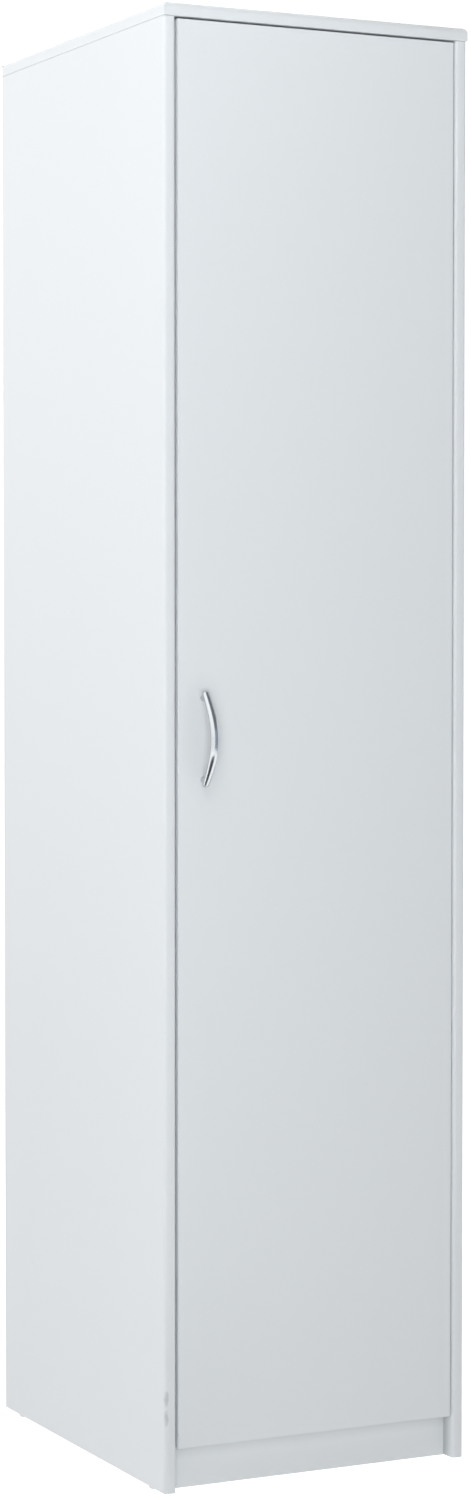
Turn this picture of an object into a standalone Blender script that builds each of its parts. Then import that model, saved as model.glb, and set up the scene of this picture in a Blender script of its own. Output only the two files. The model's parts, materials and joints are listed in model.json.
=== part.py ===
"""Tall single-door wardrobe in white laminated chipboard.

Metres, +Z up, front towards -Y. The origin is the middle of the underside of
the whole object's box, handle included. The door hangs on the right, on three
concealed hinges whose links carry it clear of the side panel as it opens.
"""
import math

import bmesh
import bpy
from mathutils import Matrix, Vector

MM = 0.001

# Carcass
HEIGHT = 1750 * MM
WIDTH = 406 * MM
DEPTH = 495 * MM
BOARD = 16 * MM
BACK_SHEET = 3 * MM
BACK_MARGIN = 1.5 * MM
SEAT = 0.3 * MM
TOP_FRONT_LIP = 2 * MM
TOP_EDGE_RADIUS = 7 * MM
SIDE_EDGE_RADIUS = 5 * MM
SMALL_EDGE_RADIUS = 1.2 * MM
DECK_UNDERSIDE = 57 * MM
PLINTH_DOOR_GAP = 4 * MM
GLIDE_HEIGHT = 3 * MM

# Door and handle
DOOR_BELOW_DECK = 2 * MM
DOOR_TOP_GAP = 2.5 * MM
DOOR_LEFT_GAP = 2.2 * MM
DOOR_HINGE_GAP = 2.2 * MM
DOOR_EDGE_RADIUS = 1.5 * MM
DECK_DOOR_GAP = 2.5 * MM
HANDLE_HEIGHT = 893.5 * MM
HANDLE_INSET = 33 * MM
HANDLE_POST_SPACING = 96 * MM
HANDLE_TIP_REACH = 8.25 * MM
HANDLE_PROJECTION = 35 * MM
HANDLE_BAR_THICK = 7.5 * MM
HANDLE_BAR_WIDTH = 10.5 * MM
HANDLE_TIP_LIFT = 4 * MM
HANDLE_BEND = 45 * MM
HANDLE_TIP_TAPER = 0.15
HANDLE_POST_RADIUS = 4 * MM
HANDLE_SCREW_RADIUS = 2 * MM
HANDLE_SCREW_GRIP = 6 * MM
SCREW_HEAD_RADIUS = 4 * MM
SCREW_HEAD_HEIGHT = 2.2 * MM
SCREW_HEAD_CROWN_RADIUS = 2.4 * MM
BUMPER_RADIUS = 4 * MM
BUMPER_INSET = 22 * MM

# Inside fittings
HAT_SPACE = 300 * MM
SHELF_SETBACK = 45 * MM
SHELF_END_GAP = 0.6 * MM
SHELF_PIN_RADIUS = 2.5 * MM
SHELF_PIN_DEPTH = 9 * MM
SHELF_PIN_REACH = 8 * MM
SHELF_PIN_CHAMFER = 0.6 * MM
SHELF_PIN_INSET = 50 * MM
RAIL_DROP = 48 * MM
RAIL_TALL = 30 * MM
RAIL_THICK = 15 * MM
RAIL_WALL = 1 * MM
SOCKET_RIM = 2.5 * MM
SOCKET_BACK = 2 * MM
SOCKET_DEPTH = 9 * MM
GLIDE_RADIUS = 7 * MM
GLIDE_CHAMFER = 1 * MM
GLIDE_NAIL_RADIUS = 1 * MM
GLIDE_NAIL_LENGTH = 12 * MM
GLIDE_INSET = 45 * MM

# Cam fittings
CAM_RADIUS = 7.5 * MM
CAM_BACKING = 3.5 * MM
CAM_REACH = 34 * MM
CAM_INSET = 60 * MM
CAM_SLOT_LENGTH = 8 * MM
CAM_SLOT_WIDTH = 1.6 * MM
CAM_SLOT_DEPTH = 1.5 * MM
BOLT_RADIUS = 3 * MM
BOLT_NECK_RADIUS = 2 * MM
BOLT_NECK = 5 * MM
BOLT_HEAD_RADIUS = 3.3 * MM
BOLT_HEAD = 3.5 * MM
BOLT_THREAD = 11 * MM

# Concealed hinges, drawn in plan: first from the door's hinge edge into the
# door, then from the door's back face into the cupboard
HINGE_END_DISTANCE = 100 * MM
CUP_EDGE_DISTANCE = 3 * MM
CUP_RADIUS = 17.3 * MM
CUP_DEPTH = 11.9 * MM
CUP_WALL = 1 * MM
CUP_RIM_RADIUS = 19 * MM
CUP_RIM_THICK = 1.2 * MM
CUP_EAR_LENGTH = 60 * MM
CUP_EAR_WIDTH = 18 * MM
CUP_NOTCH_HALF_WIDTH = 5.2 * MM
CUP_NOTCH_DEPTH = 4.5 * MM
ARM_PIVOT = (28 * MM, -2 * MM)
DOOR_PIVOT = (10 * MM, -6.5 * MM)
PIN_RADIUS = 1.2 * MM
LINK_HALF_WIDTH = 4 * MM
LINK_SIDE_PLAY = 0.4 * MM
LINK_BOW = 4.4 * MM
LINK_EYE_RADIUS = 2.9 * MM
LINK_WAIST = 1.25 * MM
LINK_FLARE_POWER = 4
LINK_CAP_SPREAD = 80
ARM_THICK = 7 * MM
ARM_HALF_WIDTH = 6 * MM
ARM_WEB = 1.4 * MM
ARM_CRANK_END = 10 * MM
ARM_CRANK_START = 30 * MM
ARM_END = 68 * MM
PLATE_THICK = 7.5 * MM
PLATE_START = 26 * MM
PLATE_HALF_WIDTH = 9 * MM
PLATE_WING_PLACE = 37 * MM
PLATE_WING_LENGTH = 50 * MM
PLATE_WING_WIDTH = 15 * MM
PLATE_WING_THICK = 2.5 * MM
PLATE_SCREW_SPACING = 32 * MM
CUP_SCREW_SPACING = 48 * MM
WOOD_SCREW_RADIUS = 2 * MM

# Facets of round shapes
FINE = 32
MEDIUM = 20
COARSE = 12
SOFT_EDGE_STEPS = 5
SMALL_EDGE_STEPS = 2
CAP_STEPS = 8
LINK_STEPS = 10
HANDLE_STEPS = 16
HANDLE_BEVEL_RESOLUTION = 4
SHARP_ANGLE = 40
MERGE_DISTANCE = 0.001 * MM

# Places worked out from the sizes above
BOX_DEPTH = DEPTH + HANDLE_PROJECTION
FRONT_Y = HANDLE_PROJECTION - BOX_DEPTH / 2
BACK_Y = BOX_DEPTH / 2
CARCASS_BACK_Y = BACK_Y - BACK_SHEET - SEAT
INNER_X = WIDTH / 2 - BOARD
TOP_UNDERSIDE = HEIGHT - BOARD
SIDE_TOP = TOP_UNDERSIDE - SEAT
SHELF_UNDERSIDE = TOP_UNDERSIDE - HAT_SPACE - BOARD
SIDE_BOTTOM = GLIDE_HEIGHT + SEAT
DOOR_BOTTOM = DECK_UNDERSIDE - DOOR_BELOW_DECK
DOOR_TOP = TOP_UNDERSIDE - DOOR_TOP_GAP
DOOR_LEFT_X = -INNER_X + DOOR_LEFT_GAP
DOOR_HINGE_X = INNER_X - DOOR_HINGE_GAP
DOOR_BACK_Y = FRONT_Y + BOARD
DECK_FRONT_Y = DOOR_BACK_Y + DECK_DOOR_GAP
PLINTH_FRONT_Y = DOOR_BACK_Y + PLINTH_DOOR_GAP
HANDLE_X = DOOR_LEFT_X + HANDLE_INSET
HANDLE_HALF_LENGTH = HANDLE_POST_SPACING / 2 + HANDLE_TIP_REACH
SHELF_FRONT_Y = DOOR_BACK_Y + SHELF_SETBACK
RAIL_Y = (SHELF_FRONT_Y + CARCASS_BACK_Y) / 2
RAIL_Z = SHELF_UNDERSIDE - RAIL_DROP
CAM_DEPTH = BOARD - CAM_BACKING
CAM_YS = (DECK_FRONT_Y + CAM_INSET, CARCASS_BACK_Y - CAM_INSET)
CUP_CENTRE = CUP_EDGE_DISTANCE + CUP_RADIUS + SEAT
PIN_BORE = PIN_RADIUS + SEAT
HINGE_HEIGHTS = {
    "lower": DOOR_BOTTOM + HINGE_END_DISTANCE,
    "middle": (DOOR_BOTTOM + DOOR_TOP) / 2,
    "upper": DOOR_TOP - HINGE_END_DISTANCE,
}
SIDES = {"left": -1, "right": 1}
OVERSHOOT = 4 * MM

# Turns for flat outlines: long way up and facing the sides, or facing the back
ENDWAYS = Matrix(((0, 0, 1), (0, 1, 0), (-1, 0, 0))).to_quaternion()
BACKWARDS = Matrix(((0, 1, 0), (0, 0, 1), (1, 0, 0))).to_quaternion()

# Finishes: colour, roughness, metallic
WHITE_LAMINATE = ((0.80, 0.83, 0.85), 0.45, 0.0)
WHITE_SHEET = ((0.74, 0.75, 0.75), 0.6, 0.0)
CHROME = ((0.78, 0.80, 0.82), 0.12, 1.0)
NICKEL = ((0.62, 0.62, 0.61), 0.28, 1.0)
ZINC = ((0.55, 0.56, 0.57), 0.4, 1.0)
WHITE_PLASTIC = ((0.82, 0.82, 0.80), 0.5, 0.0)
CLEAR_PLASTIC = ((0.70, 0.72, 0.72), 0.35, 0.0)

for old in list(bpy.data.objects):
    bpy.data.objects.remove(old, do_unlink=True)

wardrobe = bpy.data.collections.new("wardrobe")
cutters = bpy.data.collections.new("wardrobe_cutters")
for group in (wardrobe, cutters):
    bpy.context.scene.collection.children.link(group)


def finish(obj, look):
    """Give a piece its own material."""
    colour, roughness, metallic = look
    material = bpy.data.materials.new(obj.name)
    material.use_nodes = True
    shader = material.node_tree.nodes["Principled BSDF"]
    shader.inputs["Base Color"].default_value = (*colour, 1.0)
    shader.inputs["Roughness"].default_value = roughness
    shader.inputs["Metallic"].default_value = metallic
    obj.data.materials.append(material)
    return obj


def as_cutter(obj):
    """Put a shape with the cutters, out of sight."""
    for group in list(obj.users_collection):
        group.objects.unlink(obj)
    cutters.objects.link(obj)
    obj.hide_render = True
    obj.display_type = "WIRE"
    return obj


def cut(obj, cutter, operation="DIFFERENCE"):
    """Cut a shape out of a piece, or join it on."""
    as_cutter(cutter)
    boolean = obj.modifiers.new(cutter.name, "BOOLEAN")
    boolean.operation = operation
    boolean.solver = "EXACT"
    boolean.object = cutter
    return obj


def mesh_object(name, mesh_builder, location, rotation=None):
    """Wrap a new mesh, placed by its location and rotation."""
    mesh = bpy.data.meshes.new(name)
    mesh_builder.to_mesh(mesh)
    mesh_builder.free()
    obj = bpy.data.objects.new(name, mesh)
    wardrobe.objects.link(obj)
    obj.location = location
    if rotation is not None:
        obj.rotation_euler = rotation.to_euler()
    return obj


def smooth(obj):
    """Shade a piece smooth, with its real edges kept sharp."""
    obj.data.shade_smooth()
    obj.data.set_sharp_from_angle(angle=math.radians(SHARP_ANGLE))
    return obj


def box(name, low, high, rounded=None, radius=0.0, segments=SMALL_EDGE_STEPS):
    """A board between two corners, with the edges that rounded picks made round."""
    low, high = Vector(low), Vector(high)
    centre = (low + high) / 2
    build = bmesh.new()
    bmesh.ops.create_cube(build, size=1.0)
    bmesh.ops.scale(build, vec=high - low, verts=build.verts)
    if rounded is not None:
        chosen = [edge for edge in build.edges
                  if rounded((edge.verts[0].co + edge.verts[1].co) / 2)]
        bmesh.ops.bevel(build, geom=chosen, offset=radius, segments=segments,
                        profile=0.5, affect="EDGES", clamp_overlap=True)
    return smooth(mesh_object(name, build, centre))


def along(axis):
    """The rotation that points local Z along an axis."""
    return Vector(axis).to_track_quat("Z", "Y")


def rod(name, start, end, radius, facets):
    """A round bar from one point to another."""
    start, end = Vector(start), Vector(end)
    build = bmesh.new()
    bmesh.ops.create_cone(build, cap_ends=True, segments=facets, radius1=radius,
                          radius2=radius, depth=(end - start).length)
    return smooth(mesh_object(name, build, (start + end) / 2, along(end - start)))


def turned(name, profile, base, axis, facets):
    """A turned piece: radius and height pairs from its far end down to its base."""
    build = bmesh.new()
    points = [build.verts.new((radius, 0.0, height)) for radius, height in profile]
    for first, second in zip(points, points[1:]):
        build.edges.new((first, second))
    obj = mesh_object(name, build, base, along(axis))
    screw = obj.modifiers.new("turn", "SCREW")
    screw.axis = "Z"
    screw.steps = facets
    screw.render_steps = facets
    screw.use_merge_vertices = True
    screw.merge_threshold = MERGE_DISTANCE
    evaluated = obj.evaluated_get(bpy.context.evaluated_depsgraph_get())
    obj.data = bpy.data.meshes.new_from_object(evaluated)
    obj.modifiers.clear()
    return smooth(obj)


def plate(name, loops, half_thickness, location, rotation=None):
    """A flat outline, with any further loops as holes, given its thickness."""
    curve = bpy.data.curves.new(name, "CURVE")
    curve.dimensions = "2D"
    curve.fill_mode = "BOTH"
    curve.extrude = half_thickness
    for loop in loops:
        spline = curve.splines.new("POLY")
        spline.points.add(len(loop) - 1)
        for point, (across, up) in zip(spline.points, loop):
            point.co = (across, up, 0.0, 1.0)
        spline.use_cyclic_u = True
    return solid_from_curve(name, curve, location, rotation)


def solid_from_curve(name, curve, location, rotation=None, scale=(1.0, 1.0, 1.0)):
    """Turn a curve into a closed mesh and place it."""
    guide = bpy.data.objects.new(name + "_guide", curve)
    wardrobe.objects.link(guide)
    evaluated = guide.evaluated_get(bpy.context.evaluated_depsgraph_get())
    mesh = bpy.data.meshes.new_from_object(evaluated)
    bpy.data.objects.remove(guide, do_unlink=True)
    build = bmesh.new()
    build.from_mesh(mesh)
    bpy.data.meshes.remove(mesh)
    bmesh.ops.remove_doubles(build, verts=build.verts, dist=MERGE_DISTANCE)
    bmesh.ops.scale(build, vec=scale, verts=build.verts)
    bmesh.ops.recalc_face_normals(build, faces=build.faces)
    return smooth(mesh_object(name, build, location, rotation))


def arc(centre, radius, start, end, steps):
    """Points on an arc, angles in degrees."""
    turns = [math.radians(start + (end - start) * step / steps) for step in range(steps + 1)]
    return [(centre[0] + radius * math.cos(turn), centre[1] + radius * math.sin(turn)) for turn in turns]


def oval(length, width, facets):
    """A slot shape with round ends, lying along the first axis."""
    radius = width / 2
    straight = (length - width) / 2
    return (arc((straight, 0.0), radius, -90, 90, facets // 2)
            + arc((-straight, 0.0), radius, 90, 270, facets // 2))


def screwed_oval(length, width, spacing):
    """A slot shape with a screw hole near each end."""
    holes = [arc((turn * spacing / 2, 0.0), WOOD_SCREW_RADIUS, 0, 360, COARSE)[:-1] for turn in (-1, 1)]
    return [oval(length, width, MEDIUM)] + holes


def carry(axis_name, place, pieces):
    """Parent pieces to an empty on their joint's axis."""
    empty = bpy.data.objects.new(axis_name, None)
    wardrobe.objects.link(empty)
    empty.location = place
    for piece in pieces:
        piece.parent = empty
        piece.matrix_parent_inverse = Matrix.Translation(-Vector(place))


def hinge_plan(point):
    """World X and Y of a point of the hinge's plan."""
    return (DOOR_HINGE_X - point[0], DOOR_BACK_Y + point[1])


def cam_place(side, front):
    """Where the cams of the top joint and of the deck joint sit, on one side."""
    sign = SIDES[side]
    y = CAM_YS[0] if front else CAM_YS[1]
    top = Vector((sign * (INNER_X + BOARD / 2), y, SIDE_TOP - CAM_REACH))
    deck = Vector((sign * (INNER_X - SEAT - CAM_REACH), y, DECK_UNDERSIDE + BOARD / 2))
    return top, deck


def bore_cam(board, name, centre, face, towards_bolt, entry):
    """Bore a board for a cam lock and for the bolt that reaches it."""
    bottom = centre + face * (BOARD / 2 - CAM_DEPTH - SEAT)
    mouth = centre + face * (BOARD / 2 + OVERSHOOT)
    cut(board, rod(name + "_bore", bottom, mouth, CAM_RADIUS + SEAT, MEDIUM))
    end = centre + towards_bolt * (entry + OVERSHOOT)
    cut(board, rod(name + "_bolt_bore", centre, end, BOLT_HEAD_RADIUS + SEAT, COARSE))


def cam_lock(name, centre, face, towards_bolt):
    """A cam lock: a drum with a side bore for the bolt's head and a screwdriver slot."""
    outer = centre + face * (BOARD / 2 - SEAT)
    inner = centre + face * (BOARD / 2 - CAM_DEPTH)
    drum = rod(name, inner, outer, CAM_RADIUS, MEDIUM)
    reach = centre - towards_bolt * (BOLT_HEAD + SEAT)
    mouth = centre + towards_bolt * (CAM_RADIUS + OVERSHOOT)
    cut(drum, rod(name + "_side_bore", reach, mouth, BOLT_HEAD_RADIUS + SEAT, COARSE))
    slot = box(name + "_slot",
               (-CAM_SLOT_LENGTH / 2, -CAM_SLOT_WIDTH / 2, -CAM_SLOT_DEPTH),
               (CAM_SLOT_LENGTH / 2, CAM_SLOT_WIDTH / 2, OVERSHOOT))
    slot.location = outer + face * ((OVERSHOOT - CAM_SLOT_DEPTH) / 2)
    slot.rotation_euler = along(face).to_euler()
    cut(drum, slot)
    return finish(drum, ZINC)


def cam_bolt(name, centre, towards_bolt):
    """A cam bolt: threaded root, shank, neck and a head that the cam grips."""
    length = CAM_REACH + SEAT + BOLT_THREAD + BOLT_HEAD / 2
    profile = [
        (0.0, length), (BOLT_HEAD_RADIUS, length), (BOLT_HEAD_RADIUS, length - BOLT_HEAD),
        (BOLT_NECK_RADIUS, length - BOLT_HEAD), (BOLT_NECK_RADIUS, length - BOLT_HEAD - BOLT_NECK),
        (BOLT_RADIUS, length - BOLT_HEAD - BOLT_NECK), (BOLT_RADIUS, 0.0), (0.0, 0.0),
    ]
    base = centre + towards_bolt * (length - BOLT_HEAD / 2)
    return finish(turned(name, profile, base, -towards_bolt, COARSE), ZINC)


def bore_bolt_root(board, name, centre, towards_bolt):
    """Bore a board for a cam bolt's threaded root."""
    start = centre + towards_bolt * (CAM_REACH - OVERSHOOT)
    end = centre + towards_bolt * (CAM_REACH + SEAT + BOLT_THREAD + SEAT)
    cut(board, rod(name + "_root_bore", start, end, BOLT_RADIUS + SEAT, COARSE))


def glide_place(side, front):
    """Where a glide stands under a side panel."""
    y = FRONT_Y + GLIDE_INSET if front else CARCASS_BACK_Y - GLIDE_INSET
    return Vector((SIDES[side] * (INNER_X + BOARD / 2), y, 0.0))


def shelf_pin_place(side, front):
    """Where a shelf pin comes out of a side panel's inner face."""
    y = SHELF_FRONT_Y + SHELF_PIN_INSET if front else CARCASS_BACK_Y - SHELF_PIN_INSET
    return Vector((SIDES[side] * INNER_X, y, SHELF_UNDERSIDE - SEAT - SHELF_PIN_RADIUS))


def side_panel(side):
    """A side panel with a soft front edge and the bores for its fittings."""
    sign = SIDES[side]
    xs = sorted((sign * INNER_X, sign * WIDTH / 2))
    front_half = (CARCASS_BACK_Y - FRONT_Y) / 2 - SEAT
    panel = box(side + "_side_panel", (xs[0], FRONT_Y, SIDE_BOTTOM), (xs[1], CARCASS_BACK_Y, SIDE_TOP),
                lambda middle: middle.y < -front_half and abs(middle.z) < SEAT,
                SIDE_EDGE_RADIUS, SOFT_EDGE_STEPS)
    inward = Vector((-sign, 0, 0))
    for front in (True, False):
        tag = side + ("_front" if front else "_rear")
        top_cam, deck_cam = cam_place(side, front)
        bore_cam(panel, tag + "_top_cam", top_cam, inward, Vector((0, 0, 1)), CAM_REACH)
        bore_bolt_root(panel, tag + "_deck", deck_cam, -inward)
        pin = shelf_pin_place(side, front)
        cut(panel, rod(tag + "_shelf_pin_bore", pin + inward * OVERSHOOT,
                       pin - inward * (SHELF_PIN_DEPTH + SEAT), SHELF_PIN_RADIUS + SEAT, COARSE))
        foot = glide_place(side, front)
        cut(panel, rod(tag + "_nail_bore", foot,
                       foot + Vector((0, 0, GLIDE_HEIGHT + GLIDE_NAIL_LENGTH + SEAT)),
                       GLIDE_NAIL_RADIUS + SEAT, COARSE))
    return finish(panel, WHITE_LAMINATE)


def top_panel():
    """The top, laid over the sides and flush with them, its upper edge rounded at the front and the ends."""
    half = WIDTH / 2
    low = (-half, FRONT_Y - TOP_FRONT_LIP, TOP_UNDERSIDE)
    high = (half, CARCASS_BACK_Y, HEIGHT)
    half_depth = (high[1] - low[1]) / 2

    def upper_edge(middle):
        at_front = middle.y < -half_depth + SEAT
        at_end = abs(middle.x) > half - SEAT
        return middle.z > BOARD / 2 - SEAT and (at_front or at_end)

    panel = box("top_panel", low, high, upper_edge, TOP_EDGE_RADIUS, SOFT_EDGE_STEPS)
    for side in SIDES:
        for front in (True, False):
            cam, _ = cam_place(side, front)
            bore_bolt_root(panel, side + ("_front" if front else "_rear") + "_top", cam, Vector((0, 0, 1)))
    return finish(panel, WHITE_LAMINATE)


def bottom_deck():
    """The floor of the cupboard, held between the sides by cams from below."""
    half = INNER_X - SEAT
    deck = box("bottom_deck", (-half, DECK_FRONT_Y, DECK_UNDERSIDE),
               (half, CARCASS_BACK_Y, DECK_UNDERSIDE + BOARD))
    for side, sign in SIDES.items():
        for front in (True, False):
            _, cam = cam_place(side, front)
            tag = side + ("_front" if front else "_rear") + "_deck_cam"
            bore_cam(deck, tag, cam, Vector((0, 0, -1)), Vector((sign, 0, 0)), CAM_REACH)
    return finish(deck, WHITE_LAMINATE)


def plain_boards():
    """The plinth, the back and the hat shelf."""
    half = INNER_X - SEAT
    plinth = box("plinth_board", (-half, PLINTH_FRONT_Y, SIDE_BOTTOM),
                 (half, PLINTH_FRONT_Y + BOARD, DECK_UNDERSIDE - SEAT))
    finish(plinth, WHITE_LAMINATE)
    back_half = WIDTH / 2 - BACK_MARGIN
    back = box("back_panel", (-back_half, BACK_Y - BACK_SHEET, DECK_UNDERSIDE),
               (back_half, BACK_Y, HEIGHT - BACK_MARGIN))
    finish(back, WHITE_SHEET)
    shelf_half = INNER_X - SHELF_END_GAP
    shelf_middle = (CARCASS_BACK_Y - SEAT - SHELF_FRONT_Y) / 2
    shelf = box("hat_shelf", (-shelf_half, SHELF_FRONT_Y, SHELF_UNDERSIDE),
                (shelf_half, CARCASS_BACK_Y - SEAT, SHELF_UNDERSIDE + BOARD),
                lambda middle: middle.y < -shelf_middle + SEAT and abs(middle.x) < SEAT,
                SMALL_EDGE_RADIUS)
    finish(shelf, WHITE_LAMINATE)


def small_fittings():
    """Cams, bolts, shelf pins and glides, one of each at the four corners of their joints."""
    for side, sign in SIDES.items():
        for front in (True, False):
            tag = side + ("_front" if front else "_rear")
            top_cam, deck_cam = cam_place(side, front)
            up, outward = Vector((0, 0, 1)), Vector((sign, 0, 0))
            cam_lock(tag + "_top_cam_lock", top_cam, -outward, up)
            cam_bolt(tag + "_top_cam_bolt", top_cam, up)
            cam_lock(tag + "_deck_cam_lock", deck_cam, -up, outward)
            cam_bolt(tag + "_deck_cam_bolt", deck_cam, outward)
            reach = SHELF_PIN_REACH
            profile = [
                (0.0, reach), (SHELF_PIN_RADIUS - SHELF_PIN_CHAMFER, reach),
                (SHELF_PIN_RADIUS, reach - SHELF_PIN_CHAMFER),
                (SHELF_PIN_RADIUS, -SHELF_PIN_DEPTH), (0.0, -SHELF_PIN_DEPTH),
            ]
            pin = turned(tag + "_shelf_pin", profile, shelf_pin_place(side, front), -outward, COARSE)
            finish(pin, ZINC)
            nail_top = GLIDE_HEIGHT + GLIDE_NAIL_LENGTH
            profile = [
                (0.0, nail_top), (GLIDE_NAIL_RADIUS, nail_top), (GLIDE_NAIL_RADIUS, GLIDE_HEIGHT),
                (GLIDE_RADIUS, GLIDE_HEIGHT), (GLIDE_RADIUS, GLIDE_CHAMFER),
                (GLIDE_RADIUS - GLIDE_CHAMFER, 0.0), (0.0, 0.0),
            ]
            finish(turned(tag + "_glide", profile, glide_place(side, front), up, MEDIUM), WHITE_PLASTIC)


def clothes_rail():
    """An oval tube across the cupboard, held in a socket on each side."""
    half = INNER_X - SEAT - SOCKET_BACK - SEAT
    rail = plate("clothes_rail",
                 [oval(RAIL_TALL, RAIL_THICK, MEDIUM),
                  oval(RAIL_TALL - 2 * RAIL_WALL, RAIL_THICK - 2 * RAIL_WALL, MEDIUM)],
                 half, (0, RAIL_Y, RAIL_Z), ENDWAYS)
    finish(rail, CHROME)
    rim = 2 * (SOCKET_RIM + SEAT)
    for side, sign in SIDES.items():
        middle = sign * (INNER_X - SEAT - SOCKET_DEPTH / 2)
        socket = plate(side + "_rail_socket", [oval(RAIL_TALL + rim, RAIL_THICK + rim, MEDIUM)],
                       SOCKET_DEPTH / 2, (middle, RAIL_Y, RAIL_Z), ENDWAYS)
        pocket_middle = middle - sign * SOCKET_BACK
        pocket = plate(side + "_rail_pocket",
                       [oval(RAIL_TALL + 2 * SEAT, RAIL_THICK + 2 * SEAT, MEDIUM)],
                       SOCKET_DEPTH / 2, (pocket_middle, RAIL_Y, RAIL_Z), ENDWAYS)
        finish(cut(socket, pocket), NICKEL)


def handle_post_heights():
    """The heights of the handle's two posts."""
    return [HANDLE_HEIGHT + turn * HANDLE_POST_SPACING / 2 for turn in (-1, 1)]


def handle_lift(along_bar):
    """How far the bar's middle line stands off the door, a given way from its centre."""
    reach = HANDLE_PROJECTION - HANDLE_BAR_THICK / 2 - HANDLE_TIP_LIFT
    sag = math.hypot(1.0, along_bar / HANDLE_BEND) - 1.0
    full_sag = math.hypot(1.0, HANDLE_HALF_LENGTH / HANDLE_BEND) - 1.0
    return HANDLE_TIP_LIFT + reach * (1.0 - sag / full_sag)


def bow_handle():
    """A bow handle: a bar that is widest in the middle, on two short posts."""
    curve = bpy.data.curves.new("bow", "CURVE")
    curve.dimensions = "3D"
    curve.bevel_depth = HANDLE_BAR_THICK / 2
    curve.bevel_resolution = HANDLE_BEVEL_RESOLUTION
    curve.use_fill_caps = True
    spline = curve.splines.new("POLY")
    spline.points.add(HANDLE_STEPS)
    for index, point in enumerate(spline.points):
        share = 2 * index / HANDLE_STEPS - 1
        up = share * HANDLE_HALF_LENGTH
        point.co = (0.0, -handle_lift(up), up, 1.0)
        point.radius = 1.0 - HANDLE_TIP_TAPER * share ** 2
    widen = (HANDLE_BAR_WIDTH / HANDLE_BAR_THICK, 1.0, 1.0)
    bar = solid_from_curve("bow_handle", curve, (HANDLE_X, FRONT_Y, HANDLE_HEIGHT), scale=widen)
    for index, height in enumerate(handle_post_heights()):
        lift = handle_lift(HANDLE_POST_SPACING / 2)
        foot = Vector((HANDLE_X, FRONT_Y - SEAT, height))
        post = rod("handle_post_%d" % index, foot, foot - Vector((0, lift - SEAT, 0)),
                   HANDLE_POST_RADIUS, MEDIUM)
        cut(bar, post, "UNION")
        bore_end = foot - Vector((0, HANDLE_SCREW_GRIP + SEAT, 0))
        cut(bar, rod("handle_thread_%d" % index, foot + Vector((0, OVERSHOOT, 0)), bore_end,
                     HANDLE_SCREW_RADIUS + SEAT, COARSE))
    return finish(bar, CHROME)


def door_panel():
    """The door, bored for the hinge cups and the handle's screws."""
    low = (DOOR_LEFT_X, FRONT_Y, DOOR_BOTTOM)
    high = (DOOR_HINGE_X, DOOR_BACK_Y, DOOR_TOP)
    front = -BOARD / 2 + SEAT
    door = box("door_panel", low, high, lambda middle: middle.y < front, DOOR_EDGE_RADIUS)
    for place, height in HINGE_HEIGHTS.items():
        x, y = hinge_plan((CUP_CENTRE, -CUP_DEPTH - SEAT))
        cut(door, rod(place + "_cup_bore", (x, y, height), (x, DOOR_BACK_Y + OVERSHOOT, height),
                      CUP_RADIUS + SEAT, FINE))
    for index, height in enumerate(handle_post_heights()):
        cut(door, rod("handle_screw_bore_%d" % index, (HANDLE_X, FRONT_Y - OVERSHOOT, height),
                      (HANDLE_X, DOOR_BACK_Y + OVERSHOOT, height), HANDLE_SCREW_RADIUS + SEAT, COARSE))
    return finish(door, WHITE_LAMINATE)


def door_fittings():
    """The handle's screws and the bumper that meets the deck."""
    pieces = []
    for index, height in enumerate(handle_post_heights()):
        length = BOARD + SEAT + HANDLE_SCREW_GRIP
        head_end = -SEAT - SCREW_HEAD_HEIGHT
        profile = [
            (0.0, length), (HANDLE_SCREW_RADIUS, length), (HANDLE_SCREW_RADIUS, -SEAT),
            (SCREW_HEAD_RADIUS, -SEAT), (SCREW_HEAD_RADIUS, head_end + SCREW_HEAD_HEIGHT / 2),
            (SCREW_HEAD_CROWN_RADIUS, head_end), (0.0, head_end),
        ]
        name = ("lower", "upper")[index] + "_handle_screw"
        screw = turned(name, profile, (HANDLE_X, DOOR_BACK_Y, height), (0, -1, 0), COARSE)
        pieces.append(finish(screw, ZINC))
    bumper_x = DOOR_LEFT_X + BUMPER_INSET
    bumper_z = DECK_UNDERSIDE + BOARD / 2
    bumper = rod("door_bumper", (bumper_x, DOOR_BACK_Y + SEAT, bumper_z),
                 (bumper_x, DECK_FRONT_Y - SEAT, bumper_z), BUMPER_RADIUS, COARSE)
    pieces.append(finish(bumper, CLEAR_PLASTIC))
    return pieces


def mitred(path, shift):
    """A path moved sideways by a distance, kept parallel at its corners."""
    moved = []
    for index, point in enumerate(path):
        here = Vector(point)
        before = Vector(path[index - 1]) if index else None
        after = Vector(path[index + 1]) if index + 1 < len(path) else None
        ways = []
        if before is not None:
            ways.append((here - before).normalized())
        if after is not None:
            ways.append((after - here).normalized())
        normals = [Vector((way.y, -way.x)) for way in ways]
        bisector = sum(normals, Vector((0.0, 0.0))).normalized()
        stretch = bisector.dot(normals[0])
        moved.append(tuple(here + bisector * (shift / stretch)))
    return moved


def in_world(points):
    """Hinge plan points as world X and Y."""
    return [hinge_plan(point) for point in points]


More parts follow.
